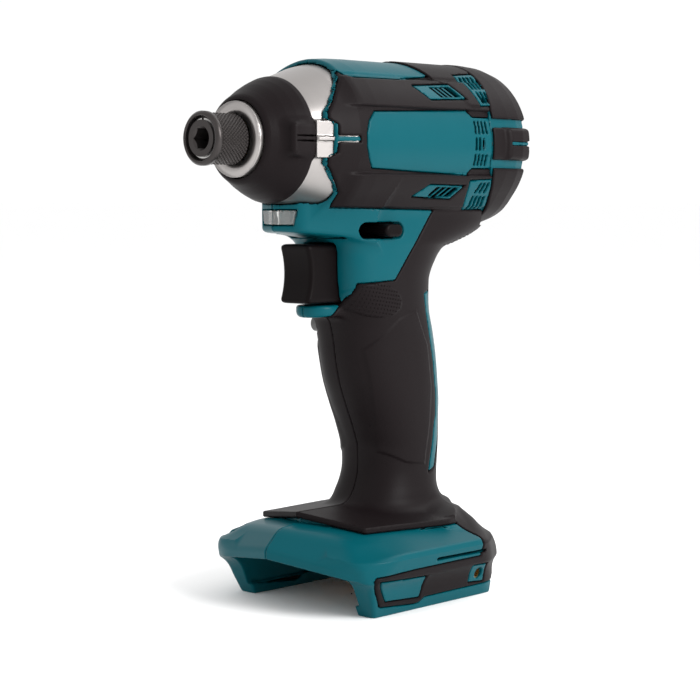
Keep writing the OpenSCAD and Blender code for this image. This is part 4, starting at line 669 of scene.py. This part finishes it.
def housingField(side):
    def field(x, y, z):
        y = y * side
        outer = outerField(x, y, z)
        black = blackArea(x, y, z)
        sink = largest(black - 0.12, -(outer + skin))
        f = smoothMax(outer, -sink, 0.35)
        bosses = np.maximum(screwDistance(x, z) - screws["boss"], -(np.hypot(y, z - axisZ) - 26))
        f = np.maximum(f, -np.maximum(roomField(x, y, z), -bosses))
        f = smoothMax(f, -openingField(x, y, z), 0.5)
        vent = ventField(x, y, z)
        f = np.maximum(f, -largest(barrelField(x, y, z) + 1.3, vent - 1.2))  # thinner wall behind the vents
        f = smoothMax(f, -vent, 0.3)
        if side < 0:
            f = np.maximum(f, -wellField(x, -y, z))
        return smoothMax(f, 0.06 - y, 0.35)
    return field


def overmouldField(side):
    def field(x, y, z):
        y = y * side
        outer = outerField(x, y, z)
        black = blackArea(x, y, z)
        f = smoothMax(outer - 0.12, black + 0.14, 0.7)
        f = np.maximum(f, -(outer + skin - 0.06))
        f = smoothMax(f, -openingField(x, y, z), 0.4)
        if side < 0:
            f = np.maximum(f, -wellField(x, -y, z))
        return smoothMax(f, 0.08 - y, 0.4)
    return field


pieces = {}
low, high = (-53, -1.5, -1), (43, 40.5, 185)
for side, word in ((1, "Left"), (-1, "Right")):
    lo, hi = (low, high) if side > 0 else ((low[0], -high[1], low[2]), (high[0], -low[1], high[2]))
    pieces["housing" + word] = formed("housing" + word, housingField(side), lo, hi, 0.6)
    pieces["overmould" + word] = formed("overmould" + word, overmouldField(side), lo, hi, 0.6)
print("housing formed")


# Rear cover and its bumper

cover = {"profile": ([-75, -68.4, -67.2, -65, -61.5, -56.5, -50, -30],
                     [-30, 15.5, 20.0, 23.5, 26.4, 27.6, 28.0, 28.0]),
         "shoulder": 0.5, "belly": 0.8, "lug": 1.2, "lugHalf": 5.5, "screwY": 25.7, "screwRoom": 2.3,
         "bands": (7.1, -6.9), "bandHalf": 1.4, "bond": 0.85}


def coverField(x, y, z):
    dz = z - axisZ
    r = np.interp(x, *cover["profile"]).astype(x.dtype)
    r = r + cover["shoulder"] * smoothStep(7.5, 9.5, np.abs(dz))
    r = r + cover["belly"] * smoothStep(17, 24, -dz)
    return smoothMax((np.hypot(y, dz) - r) * 0.85, -68.4 - x, 1.2)


def lugField(x, y, z):  # raised centre lug on each side of the cover
    ay, dz = np.abs(y), z - axisZ
    f = smoothMax(np.abs(dz - 0.1) - cover["lugHalf"], coverField(x, y, z) - cover["lug"], 1.4)
    f = smoothMax(f, (x + 47.4 + (ay - 27) * 0.9) * 0.72, 1.0)
    return largest(f, -67.4 - x, 12 - ay)


def bandField(z):
    return smallest(*[np.abs(z - axisZ - at) - cover["bandHalf"] for at in cover["bands"]])


def coverScrewField(x, y, z):  # recess over each cover screw, open to the rear
    ay = np.abs(y)
    return largest(np.hypot(ay - cover["screwY"], z - axisZ) - cover["screwRoom"], x + 56.1, ay - 27.3)


def bondField(x, y, z):  # where the bumper meets the cover, an even millimetre down
    return np.maximum(coverField(x, y, z) + cover["bond"], coverField(x - 1.0, y, z))


def rearCoverField(x, y, z):
    outer = coverField(x, y, z)
    f = np.maximum(bondField(x, y, z) + 0.01, -largest(np.hypot(y, z - axisZ) - 24.8, -64 - x))
    line = largest(np.abs(z - axisZ - 0.2) - 0.6, np.abs(x + 58) - 7.5, outer - cover["lug"] + 0.12)
    f = np.maximum(np.minimum(f, np.maximum(line, 22 - np.abs(y))), x - seamAt(z) + 0.1)
    return np.maximum(f, -coverScrewField(x, y, z))


def rearBumperField(x, y, z):
    dz = z - axisZ
    outer = coverField(x, y, z)
    f = smoothMax(outer, -bandField(z), 0.8)
    f = smoothMin(f, lugField(x, y, z), 0.6)
    line = np.maximum(np.abs(dz - 0.2) - 0.65, np.abs(x + 58) - 7.6)
    f = smoothMax(f, -np.maximum(line, 22 - np.abs(y)), 0.3)
    f = np.maximum(f, -bondField(x, y, z))
    f = smoothMax(f, -coverScrewField(x, y, z), 0.3)
    return smoothMax(f, x - seamAt(z) + 0.25, 0.8)


pieces["rearCover"] = formed("rearCover", rearCoverField, (-70, -31, 125), (-40, 31, 185), 0.6)
pieces["rearBumper"] = formed("rearBumper", rearBumperField, (-70, -31, 125), (-40, 31, 185), 0.55)


# Hammer case with its side pads and ribs, and the rubber nose ring

def caseField(x, y, z):
    dz = z - axisZ
    ay = np.abs(y)
    rho = np.hypot(y, dz)
    lean = (x - 31) * case["lean"]
    f = (rho - caseRadius(x)) * 0.93
    cheek = largest(np.abs(dz) - case["cheek"], ay - case["cheekY"] + lean, 24 - x, x - 38, 18 - ay)
    f = smoothMin(f, cheek, 0.7)
    rib = largest(np.abs(dz - 0.2) - case["rib"], ay - case["ribY"] + lean, x - 37.9, 31.4 - x, 18 - ay)
    f = smoothMin(f, rib, 0.4)
    seat = np.interp(x, *case["seat"]).astype(x.dtype)
    f = np.minimum(np.maximum(f, x - 38), smoothMax(largest(rho - seat, 36 - x), x - case["front"], 0.4))
    bore = np.where(x > 35.6, case["anvilBore"], np.interp(x, *case["hammerBore"]))
    bore = np.where(x > 42, case["bushBore"], bore).astype(x.dtype)
    return largest(f, -(rho - bore), case["rear"] - x)


bumper = {"profile": ([36, 38, 40, 43, 46, 49, 51.4, 52.6], [20.6, 20.7, 20.3, 19.1, 17.6, 15.8, 14.5, 13.6]),
          "inner": ([36, 37.8, 46, 47.5, 54], [20.0, 18.55, 14.35, 12.4, 12.4]),
          "rear": 37.9, "front": 52.6, "lug": ((41.9, 16, 0), (5.0, 4.3, 5.4), 1.6),
          "lines": (1.0, -0.6), "line": 0.22}


def bumperField(x, y, z):
    dz = z - axisZ
    ay = np.abs(y)
    rho = np.hypot(y, dz)
    f = (rho - np.interp(x, *bumper["profile"]).astype(x.dtype)) * 0.9
    edge = bumper["rear"] - 1.3 * smoothStep(7.5, 4.5, np.abs(dz)) * (ay > 8)
    f = smoothMin(f, boxField(x, ay, dz, *bumper["lug"]), 2.4)
    f = smoothMax(f, smoothMax(edge - x, x - bumper["front"], 0.5), 0.9)
    lines = smallest(*[np.abs(dz - at) - bumper["line"] for at in bumper["lines"]])
    f = smoothMax(f, -largest(lines, 19.9 - ay, x - 45.6), 0.2)
    return np.maximum(f, -(rho - np.interp(x, *bumper["inner"]).astype(x.dtype)))


nose = {"bore": 7.7, "edge": 12.0, "rear": 54.02, "front": 54.24, "sides": 96}
pieces["hammerCase"] = formed("hammerCase", caseField, (2, -28, 126), (55, 28, 184), 0.55)
pieces["caseBumper"] = formed("caseBumper", bumperField, (35, -23, 132), (54, 23, 178), 0.4)
print("nose formed")


# Trigger and reversing lever

trigger = {"middle": 111.4, "face": 26.0, "hollow": 2.1, "half": 6.9, "draft": 0.02, "centre": 111.3,
           "tall": 9.8, "flange": ((9.6, 0, 111.4), (0.8, 8.4, 11.3), 0.3), "stem": 2.2}


def triggerField(x, y, z):
    t = (z - trigger["middle"]) / 10
    face = x - trigger["face"] - trigger["hollow"] * t * t
    f = smoothMax(face, np.abs(y) - trigger["half"] - trigger["draft"] * (trigger["face"] - x), 1.6)
    f = smoothMax(f, np.abs(z - trigger["centre"]) - trigger["tall"], 1.8)
    stem = largest(np.hypot(y, z - trigger["middle"]) - trigger["stem"], -3 - x, x - 12)
    return smallest(largest(f, 9 - x), boxField(x, y, z, *trigger["flange"]), stem)


lever = {"height": 125.6, "rear": -1.5, "front": 2.4, "round": 2.15, "reach": 20.6, "pivot": 14,
         "arm": ((7, 0, 125.6), (7, 3.5, 2.2), 0.2), "eye": 3.5, "bore": 2.4, "half": 2.2}


def leverField(x, y, z):
    ends = [(lever[end], lever["height"]) for end in ("rear", "front")]
    bar = smoothMax(capsuleField(x, z, *ends, lever["round"]), np.abs(y) - lever["reach"], 1.2)
    pivot = np.hypot(x - lever["pivot"], y)
    arm = smoothMin(boxField(x, y, z, *lever["arm"]), pivot - lever["eye"], 0.5)
    f = np.minimum(bar, largest(np.abs(z - lever["height"]) - lever["half"], arm))
    return np.maximum(f, -(pivot - lever["bore"]))


pieces["triggerKey"] = formed("triggerKey", triggerField, (-5, -11, 98), (31, 11, 125), 0.4)
pieces["leverBar"] = formed("leverBar", leverField, (-6, -22, 122), (19, 22, 129), 0.4)


# Work light: a clear block that wraps the chin's front

def lensField(x, y, z):
    sweep = chin["slope"] * np.abs(y)
    f = smoothMax((x - lens["front"] + sweep) * 0.92, lensEnds(np.abs(y), z), 0.5)
    return np.maximum(f, lens["rear"] - x - sweep)


pieces["lightLens"] = formed("lightLens", lensField, (32, -9, 126), (39, 9, 134), 0.3)
print("moving pieces formed")


# Knurled sleeve: turned body with a ring of small studs laid out by nodes

sleeve = {"outline": [(7.1, 54.3), (7.5, 54.3), (7.9, 54.8), (7.9, 65.6), (8.6, 66.2), (8.6, 67.7),
                      (7.8, 68.5), (7.2, 68.5), (7.1, 67.9), (7.1, 60.3), (5.9, 60.3), (5.9, 57.3),
                      (7.1, 57.3)], "sides": 96, "radius": 7.9,
          "around": 44, "rows": 15, "studRadius": 0.52, "studHeight": 0.28, "first": 55.3, "last": 65.1}


def turnedMesh(name, outline, sides):
    a = np.linspace(0, 2 * np.pi, sides, endpoint=False)
    rings = [np.stack([np.full(sides, x), r * np.cos(a), axisZ + r * np.sin(a)], 1) for r, x in outline]
    verts = np.concatenate(rings)
    n = len(outline)
    faces = [[i * sides + k, i * sides + (k + 1) % sides, (i + 1) % n * sides + (k + 1) % sides,
              (i + 1) % n * sides + k]
             for i in range(n) for k in range(sides)]
    return meshFrom(name, verts, np.array(faces)[:, ::-1])


def nodeTree(name, inputs):
    tree = bpy.data.node_groups.new(name, "GeometryNodeTree")
    tree.interface.new_socket("Geometry", in_out="INPUT", socket_type="NodeSocketGeometry")
    for label, kind, value in inputs:
        tree.interface.new_socket(label, in_out="INPUT", socket_type=kind).default_value = value
    tree.interface.new_socket("Geometry", in_out="OUTPUT", socket_type="NodeSocketGeometry")
    return tree, tree.nodes.new("NodeGroupInput"), tree.nodes.new("NodeGroupOutput")


def useTree(obj, tree, values):
    mod = obj.modifiers.new(tree.name, "NODES")
    mod.node_group = tree
    for item in tree.interface.items_tree:
        if item.item_type == "SOCKET" and item.in_out == "INPUT" and item.name in values:
            mod[item.identifier] = values[item.name]
    return applied(obj)


def vectorNode(tree, *parts):
    n = tree.nodes.new("ShaderNodeCombineXYZ")
    for socket, part in zip(n.inputs, parts):
        if part is not None:
            tree.links.new(part, socket)
    return n.outputs[0]


def aimNode(tree, vector):
    n = tree.nodes.new("FunctionNodeAlignRotationToVector")
    n.axis = "Z"
    tree.links.new(vector, n.inputs["Vector"])
    return n.outputs[0]


def studNode(tree, start, sides, top):
    n = tree.nodes.new("GeometryNodeMeshCone")
    n.inputs["Vertices"].default_value = sides
    tree.links.new(start.outputs["Stud radius"], n.inputs["Radius Bottom"])
    tree.links.new(mathNode(tree, "MULTIPLY", start.outputs["Stud radius"], top), n.inputs["Radius Top"])
    tree.links.new(start.outputs["Stud height"], n.inputs["Depth"])
    return n.outputs[0]


def copiesOut(tree, points, shape, turn, material, end, base=None):  # copies on points, and the base if given
    copies = tree.nodes.new("GeometryNodeInstanceOnPoints")
    for label, source in (("Points", points), ("Instance", shape), ("Rotation", turn)):
        tree.links.new(source, copies.inputs[label])
    last = tree.nodes.new("GeometryNodeRealizeInstances")
    tree.links.new(copies.outputs[0], last.inputs[0])
    if base is not None:
        join = tree.nodes.new("GeometryNodeJoinGeometry")
        tree.links.new(last.outputs[0], join.inputs[0])
        tree.links.new(base, join.inputs[0])
        last = join
    coat = tree.nodes.new("GeometryNodeSetMaterial")
    coat.inputs["Material"].default_value = materials[material]
    tree.links.new(last.outputs[0], coat.inputs[0])
    tree.links.new(coat.outputs[0], end.inputs[0])


def knurlTree():
    counts = [("Around", "NodeSocketInt", 40), ("Rows", "NodeSocketInt", 12)]
    lengths = [("Radius", 0.008), ("First", 0.055), ("Last", 0.065), ("Axis height", 0.155),
               ("Stud radius", 0.0005), ("Stud height", 0.0003)]
    tree, start, end = nodeTree("knurl", counts + [(name, "NodeSocketFloat", v) for name, v in lengths])
    link, new = tree.links.new, tree.nodes.new
    line = new("GeometryNodeMeshLine")
    link(mathNode(tree, "MULTIPLY", start.outputs["Around"], start.outputs["Rows"]), line.inputs["Count"])
    index = new("GeometryNodeInputIndex").outputs[0]
    row = mathNode(tree, "FLOOR",
                   mathNode(tree, "DIVIDE", mathNode(tree, "ADD", index, 0.5), start.outputs["Around"]))
    shift = mathNode(tree, "MULTIPLY", mathNode(tree, "MODULO", row, 2.0), 0.5)
    turn = mathNode(tree, "DIVIDE", mathNode(tree, "ADD", index, shift), start.outputs["Around"])
    angle = mathNode(tree, "MULTIPLY", turn, 2 * math.pi)
    span = mathNode(tree, "SUBTRACT", start.outputs["Last"], start.outputs["First"])
    part = mathNode(tree, "DIVIDE", row, mathNode(tree, "SUBTRACT", start.outputs["Rows"], 1.0))
    along = mathNode(tree, "ADD", start.outputs["First"], mathNode(tree, "MULTIPLY", span, part))
    cosine, sine = mathNode(tree, "COSINE", angle), mathNode(tree, "SINE", angle)
    beside = mathNode(tree, "MULTIPLY", cosine, start.outputs["Radius"])
    height = mathNode(tree, "MULTIPLY", sine, start.outputs["Radius"])
    height = mathNode(tree, "ADD", height, start.outputs["Axis height"])
    place = new("GeometryNodeSetPosition")
    link(line.outputs[0], place.inputs["Geometry"])
    link(vectorNode(tree, along, beside, height), place.inputs["Position"])
    aim = aimNode(tree, vectorNode(tree, None, cosine, sine))
    stud = studNode(tree, start, 4, 0.3)
    copiesOut(tree, place.outputs[0], stud, aim, "dark_steel", end, start.outputs["Geometry"])
    return tree


def stippleTree():
    measures = [("Side", 1.0), ("Centre x", 0.004), ("Centre z", 0.102), ("Half x", 0.01), ("Half z", 0.005),
                ("Tilt", 0.1), ("Pitch", 0.001), ("Stud radius", 0.0004), ("Stud height", 0.0003)]
    tree, start, end = nodeTree("stipple", [(name, "NodeSocketFloat", v) for name, v in measures])
    link, new = tree.links.new, tree.nodes.new
    grid = new("GeometryNodeMeshGrid")
    for label, span in (("X", "Half x"), ("Y", "Half z")):
        size = mathNode(tree, "MULTIPLY", start.outputs[span], 2.6)
        link(size, grid.inputs["Size " + label])
        link(mathNode(tree, "DIVIDE", size, start.outputs["Pitch"]), grid.inputs["Vertices " + label])
    flat = new("ShaderNodeSeparateXYZ")
    link(new("GeometryNodeInputPosition").outputs[0], flat.inputs[0])
    tilt = start.outputs["Tilt"]
    across = mathNode(tree, "SUBTRACT", flat.outputs[0], mathNode(tree, "MULTIPLY", flat.outputs[1], tilt))
    above = mathNode(tree, "ADD", flat.outputs[1], mathNode(tree, "MULTIPLY", flat.outputs[0], tilt))
    first = mathNode(tree, "POWER", mathNode(tree, "DIVIDE", flat.outputs[0], start.outputs["Half x"]), 2.0)
    rise = mathNode(tree, "DIVIDE", flat.outputs[1], start.outputs["Half z"])
    second = mathNode(tree, "POWER", rise, 2.0)
    far = mathNode(tree, "GREATER_THAN", mathNode(tree, "ADD", first, second), 0.86)
    side = start.outputs["Side"]
    spot = vectorNode(tree, mathNode(tree, "ADD", across, start.outputs["Centre x"]),
                      mathNode(tree, "MULTIPLY", side, 0.05),
                      mathNode(tree, "ADD", above, start.outputs["Centre z"]))
    inward = vectorNode(tree, None, mathNode(tree, "MULTIPLY", side, -1.0))
    ray = new("GeometryNodeRaycast")
    link(start.outputs["Geometry"], ray.inputs["Target Geometry"])
    link(spot, ray.inputs["Source Position"])
    link(inward, ray.inputs["Ray Direction"])
    ray.inputs["Ray Length"].default_value = 0.05
    inside = new("GeometryNodeDeleteGeometry")
    link(grid.outputs["Mesh"], inside.inputs["Geometry"])
    link(far, inside.inputs["Selection"])
    place = new("GeometryNodeSetPosition")
    link(inside.outputs[0], place.inputs["Geometry"])
    link(ray.outputs["Hit Position"], place.inputs["Position"])
    aim = aimNode(tree, vectorNode(tree, None, side))
    copiesOut(tree, place.outputs[0], studNode(tree, start, 6, 0.45), aim, "overmould", end)
    return tree


stipple = stippleTree()
for side, word in ((1, "Left"), (-1, "Right")):
    studs = bpy.data.objects.new("thumbPad" + word, pieces["overmould" + word].data.copy())
    bpy.context.collection.objects.link(studs)
    pieces["thumbPad" + word] = useTree(studs, stipple, {
        "Side": float(side), "Centre x": pad["centre"][0] * 0.001, "Centre z": pad["centre"][1] * 0.001,
        "Half x": pad["half"][0] * 0.001, "Half z": pad["half"][1] * 0.001, "Tilt": pad["tilt"],
        "Pitch": pad["pitch"] * 0.001, "Stud radius": pad["stud"] * 0.001,
        "Stud height": pad["rise"] * 0.001})
    print("thumb pad", word, len(studs.data.vertices), "points")


def barTree():
    vectors = [("First", (0, 0, 0)), ("Step", (0, 0, 0)), ("Size", (1, 1, 1))]
    inputs = [("Count", "NodeSocketInt", 3)] + [(name, "NodeSocketVector", v) for name, v in vectors]
    tree, start, end = nodeTree("ventBars", inputs + [("Turn", "NodeSocketRotation", (0, 0, 0))])
    link, new = tree.links.new, tree.nodes.new
    line = new("GeometryNodeMeshLine")
    line.mode = "OFFSET"
    link(start.outputs["Count"], line.inputs["Count"])
    link(start.outputs["First"], line.inputs["Start Location"])
    link(start.outputs["Step"], line.inputs["Offset"])
    bar = new("GeometryNodeMeshCube")
    link(start.outputs["Size"], bar.inputs["Size"])
    copiesOut(tree, line.outputs[0], bar.outputs[0], start.outputs["Turn"], "housing", end,
              start.outputs["Geometry"])
    return tree


def sidePoint(x, z, side):
    at = np.array([x]), np.array([z])
    r = float(barrelRadius(*at)[0]) - windows["sink"] - windows["barDepth"] / 2
    return Vector((x, side * math.sqrt(r * r - (z - axisZ) ** 2), z))


bars = barTree()
for side, word in ((1, "Left"), (-1, "Right")):
    slats = meshFrom("ventBars" + word, np.zeros((0, 3)), np.zeros((0, 4), dtype=int))
    for row in ("upper", "lower"):
        a, b, c, d = [sidePoint(*corner, side) for corner in windows[row]]
        n = windows["bars"]
        step = ((b + c) - (a + d)) / 2 / n
        long = ((d - a) + (c - b)) / 2
        up = -long.normalized()
        out = Vector((0, side, 0)) - up * up.y * side
        out.normalize()
        turn = Matrix((up.cross(out), up, out)).transposed().to_euler()
        useTree(slats, bars, {
            "Count": n - 1, "First": ((a + d) / 2 + step) * 0.001, "Step": step * 0.001, "Turn": turn,
            "Size": Vector((windows["barWidth"], long.length + 1.6, windows["barDepth"])) * 0.001})
    pieces["ventBars" + word] = slats
print("vent bars set")


ringCorners = (("bore", "rear"), ("edge", "rear"), ("edge", "front"), ("bore", "front"))
pieces["noseRing"] = turnedMesh("noseRing", [(nose[r], nose[x]) for r, x in ringCorners], nose["sides"])
pieces["knurledSleeve"] = turnedMesh("knurledSleeve", sleeve["outline"], sleeve["sides"])
useTree(pieces["knurledSleeve"], knurlTree(), {
    "Around": sleeve["around"], "Rows": sleeve["rows"], "Radius": sleeve["radius"] * 0.001,
    "First": sleeve["first"] * 0.001, "Last": sleeve["last"] * 0.001, "Axis height": axisZ * 0.001,
    "Stud radius": sleeve["studRadius"] * 0.001, "Stud height": sleeve["studHeight"] * 0.001})
print("sleeve knurled")


# Which piece stands for which node, what carries it and its finish

plan = [
    ("housingLeft", "housing", "housing_left", "housing"),
    ("housingRight", "housing", "housing_right", "housing"),
    ("overmouldLeft", "housing", "overmould_left", "overmould"),
    ("overmouldRight", "housing", "overmould_right", "overmould"),
    ("thumbPadLeft", "housing", "overmould_left", "overmould"),
    ("thumbPadRight", "housing", "overmould_right", "overmould"),
    ("ventBarsLeft", "housing", "housing_left", "housing"),
    ("ventBarsRight", "housing", "housing_right", "housing"),
    ("rearCover", "housing", "rear_cover", "housing"),
    ("rearBumper", "housing", "rear_bumper", "overmould"),
    ("hammerCase", "housing", "hammer_case", "case_alloy"),
    ("caseBumper", "housing", "case_bumper", "overmould"),
    ("noseRing", "housing", "hammer_case", "case_alloy"),
    ("triggerKey", "trigger", "trigger", "black_plastic"),
    ("leverBar", "reversing_lever", "reversing_lever", "black_plastic"),
    ("lightLens", "housing", "led_lens", "lens"), ("knurledSleeve", "sleeve", "bit_sleeve", "dark_steel"),
]
replaced = set()
for name, body, node, slot in plan:
    piece = pieces[name]
    piece.data.materials.clear()
    piece.data.materials.append(materials[slot])
    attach(piece, body)
    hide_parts(node)
    replaced.add(node)

slotOf = {s["node"]: s["material_slot"] for s in frame["record"]["subparts"]}
for node, obj in frame["nodes"].items():
    if node not in replaced:
        obj.data.materials.clear()
        obj.data.materials.append(materials["screw" if "screws" in node else slotOf[node]])
print("finishes set")


# Springs: joint, fixed end and travel; each coil gets its own mesh and the share of its length left at full
# travel is printed

springs = {"hammer_spring": ("hammer_retreat", 12.9, 6.5), "sleeve_spring": ("sleeve_slide", 65.5, 3.2),
           "trigger_spring": ("trigger_pull", -5.9, 6.5)}
for node, (joint, fixed, travel) in springs.items():
    coil = frame["nodes"][node]
    reach = max(abs((coil.matrix_world @ v.co).x * 1000 - fixed) for v in coil.data.vertices)
    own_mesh(coil)
    print(node, "shortens to", round(1 - travel / reach, 3))


# Floor, light and camera

room = {"floor": 80.0, "floorColor": (0.97, 0.97, 0.97), "sky": 1.03}
bpy.ops.mesh.primitive_plane_add(size=room["floor"], location=(0, 0, 0))
floor = bpy.context.object
floor.name = "floor"
ground = bpy.data.materials.new("floor")
ground.use_nodes = True
ground.node_tree.nodes["Principled BSDF"].inputs["Base Color"].default_value = (*room["floorColor"], 1)
ground.node_tree.nodes["Principled BSDF"].inputs["Roughness"].default_value = 0.9
floor.data.materials.append(ground)

world = bpy.data.worlds.new("studio")
bpy.context.scene.world = world
world.use_nodes = True
world.node_tree.nodes["Background"].inputs["Color"].default_value = (1, 1, 1, 1)
world.node_tree.nodes["Background"].inputs["Strength"].default_value = room["sky"]

lamps = [("keyLight", (-0.15, 0.95, 0.55), 12.0, 0.5), ("frontLight", (0.85, -0.1, 0.6), 0.4, 0.5),
         ("rearLight", (-0.7, 0.2, 0.9), 2.4, 0.6)]
for name, spot, power, size in lamps:
    lamp = bpy.data.lights.new(name, "AREA")
    lamp.energy = power
    lamp.size = size
    holder = bpy.data.objects.new(name, lamp)
    holder.location = spot
    holder.rotation_euler = (Vector((0, 0, 0.1)) - Vector(spot)).to_track_quat("-Z", "Y").to_euler()
    bpy.context.collection.objects.link(holder)

view = {"place": (0.4605, 0.44335, 0.13633), "turn": 43.96, "lift": 4.63, "sensor": 36.0, "focal": 96.5}
camera = bpy.data.objects.new("camera", bpy.data.cameras.new("camera"))
camera.location = view["place"]
turn, lift = math.radians(view["turn"]), math.radians(view["lift"])
sight = -Vector((math.cos(turn) * math.cos(lift), math.sin(turn) * math.cos(lift), math.sin(lift)))
camera.rotation_euler = sight.to_track_quat("-Z", "Y").to_euler()
camera.data.sensor_width = view["sensor"]
camera.data.lens = view["focal"]
camera.data.clip_start = 0.01
bpy.context.collection.objects.link(camera)
bpy.context.scene.camera = camera
bpy.context.scene.view_settings.view_transform = "Standard"
